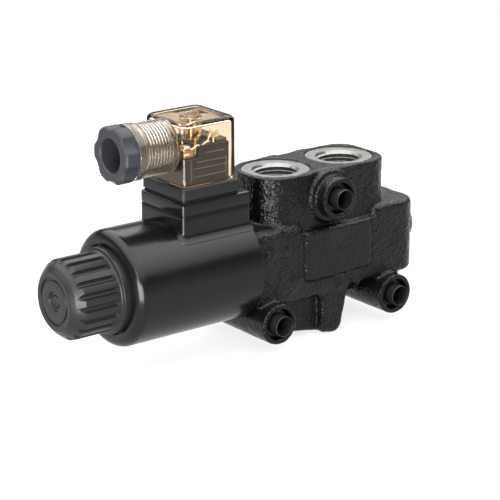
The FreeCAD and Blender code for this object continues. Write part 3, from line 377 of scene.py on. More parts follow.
CASTING = painted_casting()
MACHINED = machined_steel()
BLACK_STEEL = blackened_steel()
PLATED = plated_steel()
GLOSSY = glossy_moulding()
NUT = grained_moulding("nut_moulding", (0.004, 0.0042, 0.0047), (0.008, 0.0082, 0.0088), 0.26)
GLAND = grained_moulding("gland_moulding", (0.012, 0.0135, 0.0155), (0.018, 0.0195, 0.0215), 0.38,
                         0.3, 0.03)
CARRIER = grained_moulding("carrier_moulding", (0.006, 0.0058, 0.0035), (0.012, 0.0115, 0.007),
                           0.45)
# The ribs are the carrier's own dark plastic; this lighter colour is a painted highlight along
# them.
PAINTED_RIB_HIGHLIGHT = grained_moulding("rib_painted_highlight", (0.085, 0.08, 0.06), (0.12, 0.112, 0.085), 0.4)
RUBBER = grained_moulding("seal_rubber", (0.004, 0.004, 0.0043), (0.009, 0.009, 0.009), 0.36,
                          0.4, 0.05)
NATURAL = grained_moulding("natural_moulding", (0.35, 0.32, 0.26), (0.48, 0.44, 0.36), 0.4)
WIRE_WHITE = grained_moulding("lead_sheath", (0.62, 0.60, 0.55), (0.8, 0.78, 0.73), 0.35, 0.5)
BRASS = grained_moulding("brass", (0.42, 0.27, 0.08), (0.66, 0.45, 0.16), 0.24)
BRASS.node_tree.nodes["Principled BSDF"].inputs["Metallic"].default_value = 1.0
CLEAR = clear_moulding()
MISTY = misty_moulding()
LAMP = milky_lamp()
COPPER = copper_wire()
BOARD = circuit_lacquer()


# ---- meshes from arrays --------------------------------------------------------------------

def grid_faces(rows, columns, loop=False):
    """Quads over a rows by columns grid of points whose columns close on themselves.

    loop also joins the last row to the first.
    """
    first = np.arange(rows if loop else rows - 1)[:, None]
    across = np.arange(columns)[None, :]
    after = (first + 1) % rows
    beside = (across + 1) % columns
    a, b = first * columns + across, first * columns + beside
    c, d = after * columns + beside, after * columns + across
    return np.stack([a, b, c, d], axis=-1).reshape(-1, 4)


def new_mesh(name, points, faces, values=None):
    """A mesh from millimetre points, with numbers kept on its vertices."""
    mesh = bpy.data.meshes.new(name)
    mesh.from_pydata(set_down(points).tolist(), [], [list(map(int, f)) for f in faces])
    for word, numbers in (values or {}).items():
        kept = mesh.attributes.new(word, "FLOAT", "POINT")
        kept.data.foreach_set("value", np.asarray(numbers, np.float32).ravel())
    return mesh


def finish_piece(name, mesh, material, body, nodes=(), angle=35.0, weld=0.0):
    """Tidies a mesh, smooths it up to an angle and rides it on a body."""
    work = bmesh.new()
    work.from_mesh(mesh)
    if weld:
        bmesh.ops.remove_doubles(work, verts=work.verts, dist=weld * MM)
    bmesh.ops.recalc_face_normals(work, faces=work.faces)
    for face in work.faces:
        face.smooth = True
    limit = math.radians(angle)
    for edge in work.edges:
        if len(edge.link_faces) == 2 and edge.calc_face_angle(0) > limit:
            edge.smooth = False
    work.to_mesh(mesh)
    work.free()
    piece = bpy.data.objects.new(name, mesh)
    bpy.context.scene.collection.objects.link(piece)
    mesh.materials.append(material)
    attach(piece, body)
    if nodes:
        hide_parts(*nodes)
    return piece


def joined(shapes):
    """Several (points, faces, values) shapes as one."""
    points, faces, kept = [], [], {}
    start = 0
    for shape in shapes:
        points.append(np.asarray(shape[0], float))
        faces += [tuple(int(i) + start for i in f) for f in shape[1]]
        start += len(shape[0])
    for word in shapes[0][2]:
        kept[word] = np.concatenate([np.ravel(s[2][word]) for s in shapes])
    return np.concatenate(points), faces, kept


def softened(corners, closed=True, steps=5):
    """An outline with its corners turned into arcs.

    corners are (a, b, radius). At each one the arc starts and ends the radius times
    tan(half the turn) from the corner, and runs round the circle that touches both edges.
    """
    flat = []
    count = len(corners)
    for k, (a, b, radius) in enumerate(corners):
        here = np.array([a, b], float)
        if radius <= 0 or (not closed and k in (0, count - 1)):
            flat.append(here)
            continue
        before = np.array(corners[k - 1][:2], float) - here
        after = np.array(corners[(k + 1) % count][:2], float) - here
        before /= np.linalg.norm(before)
        after /= np.linalg.norm(after)
        half = math.acos(np.clip(before @ after, -1, 1)) / 2
        reach = radius / math.tan(half)
        middle = here + (before + after) / np.linalg.norm(before + after) * radius / math.sin(half)
        start = here + before * reach - middle
        end = here + after * reach - middle
        sweep = math.atan2(start[0] * end[1] - start[1] * end[0], start @ end)
        for t in np.linspace(0, sweep, steps + 1):
            turn = np.array([[math.cos(t), -math.sin(t)], [math.sin(t), math.cos(t)]])
            flat.append(middle + turn @ start)
    return np.array(flat)


def turned(profile, columns=96, loop=True, centre=(0.0, 0.0), radius=None):
    """A profile of (x, r) turned about the X axis through centre (y, z).

    Each point goes to (x, y0 + r cos a, z0 + r sin a). radius(x, r, a) can change r round
    the turn. loop joins the profile's end to its start. Returns points, faces and the
    distance along the profile, kept as "along".
    """
    profile = np.asarray(profile, float)
    angle = np.linspace(0, TURN, columns, endpoint=False)
    x = np.repeat(profile[:, :1], columns, axis=1)
    r = np.repeat(profile[:, 1:2], columns, axis=1)
    if radius is not None:
        r = radius(x, r, angle[None, :])
    points = np.stack([x, centre[0] + r * np.cos(angle), centre[1] + r * np.sin(angle)], axis=-1)
    steps = np.linalg.norm(np.diff(profile, axis=0), axis=1)
    along = np.repeat(np.concatenate([[0], np.cumsum(steps)])[:, None], columns, axis=1)
    return points.reshape(-1, 3), grid_faces(len(profile), columns, loop), {"along": along}


def stood_up(shape, x, y):
    """A shape turned about X, moved to stand on a vertical axis: x goes to z."""
    points, faces, values = shape
    return np.stack([x + points[:, 1], y + points[:, 2], points[:, 0]], axis=1), faces, values


def pointed_forward(shape, x, z):
    """A shape turned about X, moved to an axis that runs to the front: x goes to -y."""
    points, faces, values = shape
    return np.stack([x + points[:, 1], -points[:, 0], z + points[:, 2]], axis=1), faces, values


def rounded_square(half_x, half_y, corner, steps=6):
    """Outline of a rounded rectangle about the middle: straight sides and quarter arcs."""
    quarter = np.linspace(0, math.pi / 2, steps + 1)
    points = []
    for k, (sx, sy) in enumerate([(1, 1), (-1, 1), (-1, -1), (1, -1)]):
        a = quarter + k * math.pi / 2
        points.append(np.stack([sx * (half_x - corner) + corner * np.cos(a),
                                sy * (half_y - corner) + corner * np.sin(a)], axis=1))
    return np.concatenate(points)


def capped(rings):
    """Rings of equal length skinned in order, the first and last closed by a face."""
    columns = len(rings[0])
    faces = [tuple(f) for f in grid_faces(len(rings), columns)]
    faces.append(tuple(range(columns)))
    last = (len(rings) - 1) * columns
    faces.append(tuple(reversed(range(last, last + columns))))
    points = np.concatenate(rings)
    return points, faces, {"along": points[:, 2]}


def stacked(levels, x, y, steps=6):
    """A closed pillar of rounded rectangles: levels are (z, half_x, half_y, corner).

    Level k is the rounded rectangle of its half sizes at its height; the first and last
    are closed by a face.
    """
    rings = []
    for z, half_x, half_y, corner in levels:
        flat = rounded_square(half_x, half_y, corner, steps)
        rings.append(np.column_stack([flat + [x, y], np.full(len(flat), z)]))
    return capped(rings)


def edged(low, high, half_x, half_y, corner, rim, steps=4):
    """Levels of a block whose top and bottom rims are quarter rounds of radius rim."""
    quarter = np.linspace(0, math.pi / 2, steps + 1)
    inset = rim * (1 - np.sin(quarter))
    rise = rim * (1 - np.cos(quarter))
    levels = [(low + rise[k], half_x - inset[k], half_y - inset[k], max(corner - inset[k], 0.05))
              for k in range(steps + 1)]
    levels += [(high - rise[k], half_x - inset[k], half_y - inset[k],
                max(corner - inset[k], 0.05)) for k in reversed(range(steps + 1))]
    return levels


def brick(x, y, z, half_x, half_y, half_z, corner=0.3, rim=0.2):
    """A small block with rounded corners and rims about its middle."""
    return stacked(edged(z - half_z, z + half_z, half_x, half_y, corner, rim, 2), x, y, 3)


def tube_along(route, radius, columns=10):
    """A round wire: a circle of the given radius carried along a smooth line of points.

    The circle's two directions come from a fixed up vector and the line's own direction,
    and both ends close on a point.
    """
    line = np.asarray(route, float)
    ahead = np.gradient(line, axis=0)
    ahead /= np.linalg.norm(ahead, axis=1, keepdims=True)
    side = np.cross(ahead, [0.13, 0.21, 0.97])
    side /= np.linalg.norm(side, axis=1, keepdims=True)
    over = np.cross(side, ahead)
    angle = np.linspace(0, TURN, columns, endpoint=False)
    size = np.full(len(line), float(radius))
    size[0] = size[-1] = radius * 0.02
    ring = (side[:, None, :] * np.cos(angle)[None, :, None]
            + over[:, None, :] * np.sin(angle)[None, :, None])
    points = line[:, None, :] + ring * size[:, None, None]
    along = {"along": np.zeros(len(line) * columns)}
    return points.reshape(-1, 3), grid_faces(len(line), columns), along


def smooth_line(knots, count=40):
    """Points of a Catmull-Rom curve through the knots."""
    knots = np.asarray(knots, float)
    padded = np.concatenate([2 * knots[:1] - knots[1:2], knots, 2 * knots[-1:] - knots[-2:-1]])
    t = np.linspace(0, len(knots) - 1 - 1e-6, count)
    k = t.astype(int)
    u = (t - k)[:, None]
    p0, p1, p2, p3 = padded[k], padded[k + 1], padded[k + 2], padded[k + 3]
    return 0.5 * (2 * p1 + (p2 - p0) * u + (2 * p0 - 5 * p1 + 4 * p2 - p3) * u ** 2
                  + (3 * p1 - p0 - 3 * p2 + p3) * u ** 3)


# ---- the casting: distance fields ----------------------------------------------------------

def lumps(points, size, seed):
    """Smooth noise from -1 to 1: random values on a lattice, blended with 3t^2 - 2t^3."""
    lattice = np.random.default_rng(seed).uniform(-1, 1, (32, 32, 32))
    scaled = points / size + 100.0
    cell = np.floor(scaled).astype(int)
    t = scaled - cell
    t = t * t * (3 - 2 * t)
    total = np.zeros(len(points))
    for corner in range(8):
        step = np.array([corner & 1, corner >> 1 & 1, corner >> 2 & 1])
        share = np.prod(np.where(step, t, 1 - t), axis=1)
        i, j, k = ((cell + step) % 32).T
        total += share * lattice[i, j, k]
    return total


def blended(a, b, reach):
    """Union of two distances, with a fillet about reach wide where they meet."""
    share = np.clip(0.5 + 0.5 * (b - a) / reach, 0, 1)
    return b * (1 - share) + a * share - reach * share * (1 - share)


def carved(a, b, reach):
    """Distance a with b taken away, its edge softened over reach."""
    return -blended(-a, b, reach)


def rectangle_field(u, v, low_u, high_u, low_v, high_v, radius=0.0):
    """Distance to a rounded rectangle in a plane; radius may vary over the plane."""
    across = np.abs(u - (low_u + high_u) / 2) - (high_u - low_u) / 2 + radius
    up = np.abs(v - (low_v + high_v) / 2) - (high_v - low_v) / 2 + radius
    outside = np.hypot(np.maximum(across, 0), np.maximum(up, 0))
    return outside + np.minimum(np.maximum(across, up), 0) - radius


def polygon_field(u, v, corners):
    """Distance to a polygon: nearest edge, with the sign from a crossing count."""
    nearest = np.full(u.shape, 1e9)
    inside = np.zeros(u.shape, bool)
    count = len(corners)
    for k in range(count):
        (u0, v0), (u1, v1) = corners[k], corners[(k + 1) % count]
        du, dv = u1 - u0, v1 - v0
        t = np.clip(((u - u0) * du + (v - v0) * dv) / (du * du + dv * dv), 0, 1)
        nearest = np.minimum(nearest, np.hypot(u - u0 - t * du, v - v0 - t * dv))
        crosses = (v0 > v) != (v1 > v)
        inside ^= crosses & (u < du * (v - v0) / (dv if dv else 1e-9) + u0)
    return np.where(inside, -nearest, nearest)


def raised(flat, w, low, high, rim=0.0):
    """A flat distance given thickness from low to high along w, its rims rounded."""
    across = flat + rim
    along = np.abs(w - (low + high) / 2) - (high - low) / 2 + rim
    outside = np.hypot(np.maximum(across, 0), np.maximum(along, 0))
    return outside + np.minimum(np.maximum(across, along), 0) - rim


def casting_field(p):
    """Signed distance to the painted casting, in millimetres, negative inside."""
    x, y, z = p[..., 0], p[..., 1], p[..., 2]
    middle_x = (BODY_LEFT + BODY_RIGHT) / 2
    front_right = (x > middle_x) & (y < 0)
    footprint = rectangle_field(x, y, BODY_LEFT - 3, BODY_RIGHT, BODY_FRONT, REAR + 3,
                                np.where(front_right, 8.5, 1.6))
    solid = raised(footprint, z, BODY_BOTTOM, BODY_TOP, np.where((x < -15) & (z > 0), 5.2, 2.6))
    step = raised(rectangle_field(x, z, -17.4, 24.2, 11.2, OUTSIDE, 0.8), y, -OUTSIDE, -14.4)
    solid = carved(solid, step, 1.5)
    bead = np.hypot(np.maximum(np.abs(x - 3.6) - 19.5, 0.0), np.hypot(y + 17.7, z - 10.5)) - 1.55
    solid = blended(solid, bead, 0.8)

    lobe = polygon_field(x, z, [(-28.0, -12.0), (-28.0, -27.3), (-22.0, -29.1), (0.7, -33.1),
                                (4.9, -14.4)]) - 5.0
    solid = blended(solid, raised(lobe, y, BODY_FRONT, 19.0, 1.8), 2.5)
    recess = raised(rectangle_field(x, z, -31.0, -6.0, -OUTSIDE, -18.9, 3.5), y, -OUTSIDE, -14.8)
    solid = carved(solid, recess, 2.0)
    web = raised(rectangle_field(x, z, 4.0, 31.0, -26.0, -12.0, 2.0), y, -7.5, 20.0, 2.0)
    solid = blended(solid, web, 6.0)

    left, right = (rectangle_field(x, y, middle - PORT_HALF, middle + PORT_HALF,
                                   -PORT_HALF - 0.1, PORT_HALF + 0.1, corner)
                   for middle, corner in ((-PORT_PITCH / 2, 12.5), (PORT_PITCH / 2, 9.5)))
    waist = rectangle_field(x, y, -12.0, 12.0, -13.4, 16.0, 2.0)
    tower = blended(blended(left, right, 4.0), waist, 6.0)
    solid = blended(solid, raised(tower, z, 0.0, PORT_FACE, 1.2), 1.8)

    across, up = BOSSES[2]
    saddle = rectangle_field(x, z, across - 6.5, across + 6.5, 0.0, up, 1.0)
    saddle = raised(saddle, y, 0.0, REAR + 2)
    solid = blended(solid, saddle, 2.5)
    collar = raised(np.hypot(x - across, z - up) - 11.6, y, -18.4, 6.0, 1.0)
    solid = blended(solid, collar, 1.6)
    for number, (across, up) in enumerate(BOSSES):
        boss = raised(np.hypot(x - across, z - up) - BOSS_RADIUS, y, BOSS_FRONT, REAR + 3, 1.1)
        solid = blended(solid, boss, 2.6 if number < 2 else 1.4)

    outline = rectangle_field(x, z, -16.0, 21.4, -10.4, 11.3, 2.0)
    solid = blended(solid, raised(outline, y, BODY_FRONT - 0.7, 0.0, 0.3), 0.4)
    solid = carved(solid, np.hypot(outline - 0.4, y - BODY_FRONT + 0.2) - 0.42, 0.3)
    dome = raised(np.hypot(x + 32.5, z) - 8.6, y, BODY_FRONT - 0.7, 0.0, 0.4)
    solid = blended(solid, dome, 0.7)
    for a, b, c, r in ((22.4, -15.6, 20.2, 1.7), (24.0, -15.0, 16.0, 1.7), (2.6, -19.0, -13.0, 1.3),
                       (3.0, -18.9, -16.4, 1.3), (-23.6, -18.8, -12.8, 1.5)):
        pip = np.sqrt(((x - a) / 1.35) ** 2 + (y - b) ** 2 + (z - c) ** 2) - r
        solid = blended(solid, pip, 1.0)
    gap = np.hypot(np.hypot(x - BOSSES[2][0], z - BOSSES[2][1]) - 10.3, y + 18.9) - 0.95
    solid = carved(solid, gap, 0.5)

    solid = np.maximum(solid, np.maximum(BODY_LEFT - x, y - REAR))
    for across, up in BOSSES:
        away = np.hypot(x - across, z - up)
        solid = carved(solid, raised(away - 6.9, y, -OUTSIDE, BODY_FRONT), 0.6)
        solid = np.maximum(solid, SLEEVE_HOLE - away)
    for side in (-1, 1):
        away = np.hypot(x - side * PORT_PITCH / 2, y)
        solid = carved(solid, raised(away - SPOT_RADIUS, z, PORT_FACE - 1.0, OUTSIDE), 0.35)
        solid = np.maximum(solid, -raised(away - PORT_COUNTERBORE, z, 19.0, OUTSIDE))
    for across in (0.0, -28.75):
        away = np.hypot(x - across, z)
        solid = np.maximum(solid, -raised(away - REAR_SEAL_RADIUS, y, REAR - 1.8, OUTSIDE))
        solid = np.maximum(solid, -raised(away - REAR_PORT_RADIUS, y, REAR - 9.0, OUTSIDE))
    seat = np.hypot(y - 12.0, z + 9.0) - 4.0
    return np.maximum(solid, -raised(seat, x, BODY_RIGHT - 7.0, OUTSIDE))


def net_over(field, low, high, cell):
    """Mesh of a field's zero surface by surface nets.

    The field is read on a lattice. A cell that the surface passes through gets one point,
    the mean of the crossings on its edges, and every lattice edge whose ends differ in
    sign gets a quad between the four cells round it.
    """
    counts = np.ceil((np.asarray(high) - low) / cell).astype(int) + 1
    axes = [low[k] + cell * np.arange(counts[k]) for k in range(3)]
    lattice = np.stack(np.meshgrid(*axes, indexing="ij"), axis=-1)
    value = field(lattice)
    inside = value < 0
    cells = tuple(counts - 1)
    total = np.zeros(cells + (3,))
    crossings = np.zeros(cells)
    edges = []
    for axis in range(3):
        near = [slice(None)] * 3
        far = [slice(None)] * 3
        near[axis], far[axis] = slice(0, -1), slice(1, None)
        v0, v1 = value[tuple(near)], value[tuple(far)]
        cut = inside[tuple(near)] != inside[tuple(far)]
        share = np.where(cut, v0 / np.where(v0 == v1, 1.0, v0 - v1), 0.0)
        place = lattice[tuple(near)].copy()
        place[..., axis] += share * cell
        others = [k for k in range(3) if k != axis]
        for da in (0, 1):
            for db in (0, 1):
                pick = [slice(None)] * 3
                pick[others[0]] = slice(da, da + cells[others[0]])
                pick[others[1]] = slice(db, db + cells[others[1]])
                hit = cut[tuple(pick)]
                total += place[tuple(pick)] * hit[..., None]
                crossings += hit
        edges.append((axis, others, cut, inside[tuple(near)]))
    used = crossings > 0
    number = np.full(cells, -1)
    number[used] = np.arange(used.sum())
    points = total[used] / crossings[used][:, None]
    quads = []
    for axis, others, cut, starts_inside in edges:
        i, j, k = np.nonzero(cut)
        index = np.stack([i, j, k], axis=1)
        keep = (index[:, others[0]] > 0) & (index[:, others[1]] > 0)
        keep &= (index[:, others[0]] < cells[others[0]]) & (index[:, others[1]] < cells[others[1]])
        index = index[keep]
        flip = starts_inside[tuple(index.T)] ^ (axis == 1)
        ring = []
        for da, db in ((1, 1), (0, 1), (0, 0), (1, 0)):
            beside = index.copy()
            beside[:, others[0]] -= da
            beside[:, others[1]] -= db
            ring.append(number[tuple(beside.T)])
        quad = np.stack(ring, axis=1)
        quad[~flip] = quad[~flip][:, ::-1]
        quads.append(quad)
    return points, np.concatenate(quads)


def slope(field, points, step=0.05):
    """Gradient of a field by central differences."""
    parts = []
    for axis in range(3):
        shift = np.zeros(3)
        shift[axis] = step
        parts.append((field(points + shift) - field(points - shift)) / (2 * step))
    return np.stack(parts, axis=1)


def casting():
    """The painted casting, drawn onto its field, then roughened like sand-cast iron."""
    points, quads = net_over(casting_field, body_low - 1.5, body_high + 1.5, 0.72)
    for _ in range(3):
        away = casting_field(points)
        normal = slope(casting_field, points)
        length = np.maximum(np.linalg.norm(normal, axis=1, keepdims=True), 0.3)
        points -= np.clip(away[:, None] / length, -0.4, 0.4) * normal / length
    x, y, z = points.T
    normal = slope(casting_field, points)
    normal /= np.maximum(np.linalg.norm(normal, axis=1, keepdims=True), 1e-6)
    bare = (y > REAR - 0.25) & (normal[:, 1] > 0.6)
    bare |= (x < BODY_LEFT + 0.2) & (z > -16.0) & (z < 15.0)
    plate = (y < BODY_FRONT - 0.3) & (x > -16) & (x < 21.4) & (z < 11) & (z > -10.4)
    calm = bare | (y < BOSS_FRONT + 0.4)
    rough = np.where(calm, 0.0, np.where(plate, 0.35, 1.0))
    rough = np.where(z > PORT_FACE - 0.4, 0.3, rough)
    relief = (0.10 * lumps(points, 2.3, 3) + 0.12 * lumps(points, 1.3, 4)
              + 0.04 * lumps(points, 7.0, 5))
    relief = np.minimum(relief, 0.12)
    points = points + normal * (rough * (relief - 0.08))[:, None]
    points = np.clip(points, body_low, body_high)
    mesh = new_mesh("casting", points, quads, {"bare": bare.astype(float), "calm": 1 - rough})
    finish_piece("casting", mesh, CASTING, "body", ["valve_body"], angle=80)


def threaded_port(side):
    """Bare bore of one port: spot face, chamfer, Whitworth thread, floor and drilling.

    The thread's radius at height z and angle a is the middle radius plus half the depth
    times a rounded triangle wave of (z + pitch a / turn) / pitch, so one groove climbs
    round the bore. The chamfer cuts in above, and the outer wall is hidden in the casting.
    """
    pitch, crest, root = 1.814, 9.35, 10.5
    top = PORT_FACE - 0.85
    heights = np.arange(top - 1.3, PORT_FACE - 17.0, -0.1)
    thread = [(z, 9.8) for z in heights]
    low = heights[-1]
    profile = [(9.0, 0.0), (9.0, 7.4), (low - 2.0, 11.3), (top - 0.9, 11.3),
               (top - 0.9, 14.9), (top - 0.12, 15.12), (top, 15.0), (top, 12.6), (top, 10.5),
               (top - 0.12, 10.4)]
    profile += thread + [(low - 0.2, 9.2), (low - 0.9, 9.1), (low - 3.4, 6.1), (low - 3.8, 6.0),
                         (10.4, 6.0), (9.6, 5.2), (9.4, 0.0)]

    def radius(z, r, angle):
        wave = np.abs(((z / pitch + angle / TURN) % 1.0) * 2 - 1)
        cut = crest + (root - crest) * np.clip(wave * 1.3 - 0.15, 0, 1)
        cut = np.maximum(cut, 10.4 - (top - 0.12 - z) * 0.9)
        return np.where(np.abs(r - 9.8) < 1e-6, cut, r)

    shape = stood_up(turned(profile, 112, loop=False, radius=radius), side * PORT_PITCH / 2, 0.0)
    label = "a" if side < 0 else "b"
    mesh = new_mesh(f"port_bore_{label}", *shape)
    finish_piece(f"port_bore_{label}", mesh, MACHINED, "body", ["valve_body"],
                 angle=40, weld=0.002)


def sleeves():
    """Flanged steel tube in each boss, with broken edges and a slightly flared mouth."""
    front = -float(sleeve_low[1])
    back = -float(sleeve_high[1])
    seat = -BOSS_FRONT - 5.0
    outline = [(back, 4.25, 0), (front - 0.5, 4.2, 0), (front, 4.34, 0.1), (front, 4.55, 0.1),
               (front - 0.35, 4.65, 0.2), (seat + 1.6, 4.65, 0.3), (seat + 1.6, 6.55, 0.3),
               (seat + 0.05, 6.6, 0.1), (seat + 0.05, 4.65, 0), (back, 4.65, 0.2)]
    shapes = [pointed_forward(turned(softened(outline, steps=3), 72), *boss) for boss in BOSSES]
    mesh = new_mesh("mounting_tubes", *joined(shapes))
    finish_piece("mounting_tubes", mesh, BLACK_STEEL, "body",
                 ["mounting_sleeves"])


def six_sided(radius_at_corner):
    """Radius of a hexagon at each angle: apothem over the cosine from the nearest flat."""
    def radius(angle):
        from_flat = (angle + math.pi / 6) % (math.pi / 3) - math.pi / 6
        return radius_at_corner * math.cos(math.pi / 6) / np.cos(from_flat)
    return radius


def end_cap():
    """Hollow domed plug at the right end with its collar and a hexagon socket."""
    face = float(plug_high[0])
    inside = float(plug_low[0])
    hexagon = six_sided(4.0)
    floor, hollow = 52.0, 5.6
    outline = softened([(floor, 0.0, 0), (floor, hollow, 0), (inside, hollow, 0.1),
                        (inside, 8.5, 0.3),
                        (BODY_RIGHT + 0.05, 8.5, 0),
                        (BODY_RIGHT + 0.05, 10.0, 0.2), (face - 3.2, 10.0, 0.8),
                        (face - 1.0, 8.3, 1.6), (face - 0.1, 5.0, 1.2), (face - 0.35, 4.35, 0.1),
                        (face - 0.7, 4.0, 0), (face - 3.4, 4.0, 0), (face - 3.8, 0.0, 0)],
                       closed=False, steps=5)

    def radius(x, r, angle):
        return np.where((x > face - 3.6) & (r < 4.2) & (r > 3.5), hexagon(angle) * r / 4.0, r)

    mesh = new_mesh("end_cap", *turned(outline, 120, loop=False, radius=radius))
    finish_piece("end_cap", mesh, BLACK_STEEL, "body", ["end_plug"], weld=0.002)


def gallery_screw():
    """Small socket plug that closes the gallery, just inside the right end face."""
    hexagon = six_sided(2.1)
    low, high = span("gallery_plug")
    outline = softened([(low[0], 0.0, 0), (low[0], 3.9, 0.3), (high[0], 3.9, 0.5),
                        (high[0], 2.3, 0), (high[0] - 0.3, 2.1, 0), (high[0] - 2.4, 2.1, 0),
                        (high[0] - 2.6, 0.0, 0)], closed=False, steps=4)

    def radius(x, r, angle):
        return np.where((r < 2.2) & (r > 1.9), hexagon(angle), r)

    centre = ((low[1] + high[1]) / 2, (low[2] + high[2]) / 2)
    mesh = new_mesh("gallery_screw", *turned(outline, 72, False, centre, radius))
    finish_piece("gallery_screw", mesh, PLATED, "body", ["gallery_plug"], weld=0.002)


def fluted_nut():
    """Ring nut: a turned body with twenty round-bottomed flutes cut along it.

    At each angle the radius is the smaller of the turned one and that of the nearest
    flute's wall, D cos a - sqrt(s^2 - D^2 sin^2 a) for a cutter of radius s run round at D.
    Near the flange the cutter's radius falls as a quarter circle, which rounds the end.
    """
    front, rear = float(nut_low[0]), NUT_REAR
    count, cutter, circle = 20, 1.1, 16.6
    outline = [(front + 0.8, 10.15, 0.15), (front, 10.3, 0.2), (front, 12.5, 0.7),
               (front + 1.6, 14.5, 1.2), (front + 4.9, 17.2, 1.4), (-111.4, 17.2, 0.9),
               (-110.9, 18.7, 0.5), (rear - 0.9, 18.7, 0.4), (rear, 17.7, 0.2),
               (rear, 12.6, 0.2), (float(nut_high[0]), 12.6, 0.3),
               (float(nut_high[0]), 10.15, 0.1), (front + 2.3, 10.15, 0), (front + 2.3, 2.75, 0),
               (front + 1.1, 2.75, 0.15), (front + 1.1, 4.0, 0.2), (front + 0.1, 4.3, 0.3),
               (front + 0.1, 8.9, 0.25), (front + 0.8, 9.1, 0.1)]
    profile = softened(outline, steps=5)
    extra = []
    for first, second in zip(profile, np.roll(profile, -1, axis=0)):
        gap = np.linalg.norm(second - first)
        parts = int(np.clip(gap // 0.8, 1, 24)) if min(first[1], second[1]) > 13 else 1
        extra += [first + (second - first) * k / parts for k in range(parts)]

    def radius(x, r, angle):
        from_flute = (angle + math.pi / count) % (TURN / count) - math.pi / count
        ease = np.clip((x - FLUTE_END) / 1.3 + 1, 0, 1)
        size = cutter * np.sqrt(np.clip(1 - ease ** 2, 0, 1)) + 1e-6
        reach = size ** 2 - (circle * np.sin(from_flute)) ** 2
        wall = np.where(reach > 0, circle * np.cos(from_flute) - np.sqrt(np.abs(reach)), 99.0)
        return np.where((r > 13) & (x < FLUTE_END), np.minimum(r, wall), r)

    shape = turned(extra, 480, radius=radius)
    mesh = new_mesh("fluted_nut", *shape)
    finish_piece("fluted_nut", mesh, NUT, "nut", ["ring_nut"], angle=38)


def override():
    """Push pin that shows in the middle of the nut, with a shallow dished end."""
    low, high = span("override_pin")
    front = float(low[0])
    end = float(high[0])
    outline = softened([(front + 0.5, 0.0, 0), (front + 0.35, 1.2, 0.4), (front, 1.9, 0.15),
                        (front, 2.42, 0.2), (end - 1.5, 2.42, 0), (end - 1.5, 3.5, 0.1),
                        (end, 3.5, 0.2), (end, 0.0, 0)], closed=False, steps=4)
    mesh = new_mesh("override_button", *turned(outline, 64, loop=False))
    finish_piece("override_button", mesh, BLACK_STEEL, "override",
                 ["override_pin"], weld=0.002)


def coil_case():
    """Moulded barrel round the winding: flat end, full rim, straight wall and a small lip."""
    left, right = float(coil_low[0]), float(coil_high[0])
    outline = softened([(right - 0.4, 10.2, 0), (left + 1.9, 10.2, 0.1), (left + 1.9, 19.15, 0.2),
                        (left + 0.15, 19.25, 0.25), (left, 20.4, 0.6), (left, COIL_RADIUS, 4.6),
                        (right, COIL_RADIUS, 0.7), (right, 10.2, 0.2)], steps=12)
    mesh = new_mesh("coil_barrel", *turned(outline, 256))
    finish_piece("coil_barrel", mesh, GLOSSY, "coil", ["coil_housing"], angle=50)


def coil_tower():
    """Square turret on the barrel that carries the connector, with a flared foot.

    It is a stack of rounded rectangles. The lowest ones follow the barrel: each point's
    height is the barrel's height at its depth plus a rise, and while the rise falls to
    nothing the outline grows by a quarter circle. One ring cuts in for the groove.
    """
    left, right = CONNECTOR_X - 15.65, float(coil_high[0]) - 0.1
    middle, half = (left + right) / 2, (right - left) / 2
    depth = 15.6
    flare = 1.7
    rings = []

    def level(grow, rise, height=None):
        flat = rounded_square(half + grow, depth + grow, 1.7 + max(grow, 0), 8)
        flat[:, 0] = np.minimum(flat[:, 0] + middle, right)
        reach = np.minimum(np.abs(flat[:, 1]), COIL_RADIUS - 0.5)
        round_top = np.sqrt(COIL_RADIUS ** 2 - reach ** 2)
        high = round_top + rise if height is None else np.full(len(flat), height)
        rings.append(np.column_stack([flat, high]))

    level(flare + 0.5, -2.2)
    level(flare + 0.5, -0.25)
    level(flare + 0.45, 0.22)
    level(flare + 0.2, 0.30)
    for step in np.linspace(0.0, math.pi / 2, 8):
        level(flare * (1 - math.sin(step)), 0.30 + flare * (1 - math.cos(step)))
    groove = 29.6
    top = 35.0
    share = np.linspace(0, 1, 4)[1:-1]
    base = rings[-1][:, 2].copy()
    for part in share:
        level(0.0, 0.0, 0.0)
        rings[-1][:, 2] = base + (groove - 0.45 - base) * part
    for grow, height in ((0.0, groove - 0.45), (-0.08, groove - 0.32), (-0.45, groove - 0.25),
                         (-0.45, groove + 0.25), (-0.08, groove + 0.32), (0.0, groove + 0.45),
                         (0.05, top - 1.6), (0.05, top - 0.9), (-0.12, top - 0.35),
                         (-0.5, top - 0.1), (-1.0, top)):
        level(grow, 0.0, height)
    mesh = new_mesh("coil_turret", *capped(rings)[:2])
    finish_piece("coil_turret", mesh, GLOSSY, "coil", ["coil_housing"], angle=32,
                 weld=0.001)


def square_gasket():
    """Rubber frame between turret and connector: a thin lip below and a deep band above."""
    low, top = float(gasket_low[2]) + 0.03, GASKET_TOP
    levels = [(low, 13.6, 13.6, 1.2), (low, 14.5, 14.5, 1.6), (low + 0.25, 14.7, 14.7, 1.7),
              (low + 0.55, 14.7, 14.7, 1.7), (low + 0.75, 14.2, 14.2, 1.5),
              (low + 1.0, 14.2, 14.2, 1.5), (low + 1.3, 15.05, 15.05, 1.8),
              (low + 2.0, 15.1, 15.1, 1.9), (top - 1.0, 15.05, 15.05, 1.9),
              (top - 0.35, 14.8, 14.8, 1.8), (top, 14.3, 14.3, 1.6)]
    points, faces, values = stacked(levels, CONNECTOR_X, 0.0, 6)
    mesh = new_mesh("gasket_frame", points, faces, values)
    finish_piece("gasket_frame", mesh, RUBBER, "coil", ["connector_gasket"],
                 angle=40)


def round_ring(z, radius, count):
    """Evenly spaced points of a level circle, in step with a rounded square's outline."""
    angle = (np.arange(count) + 0.5) * TURN / count
    return np.column_stack([CONNECTOR_X + radius * np.cos(angle), radius * np.sin(angle),
                            np.full(count, z)])


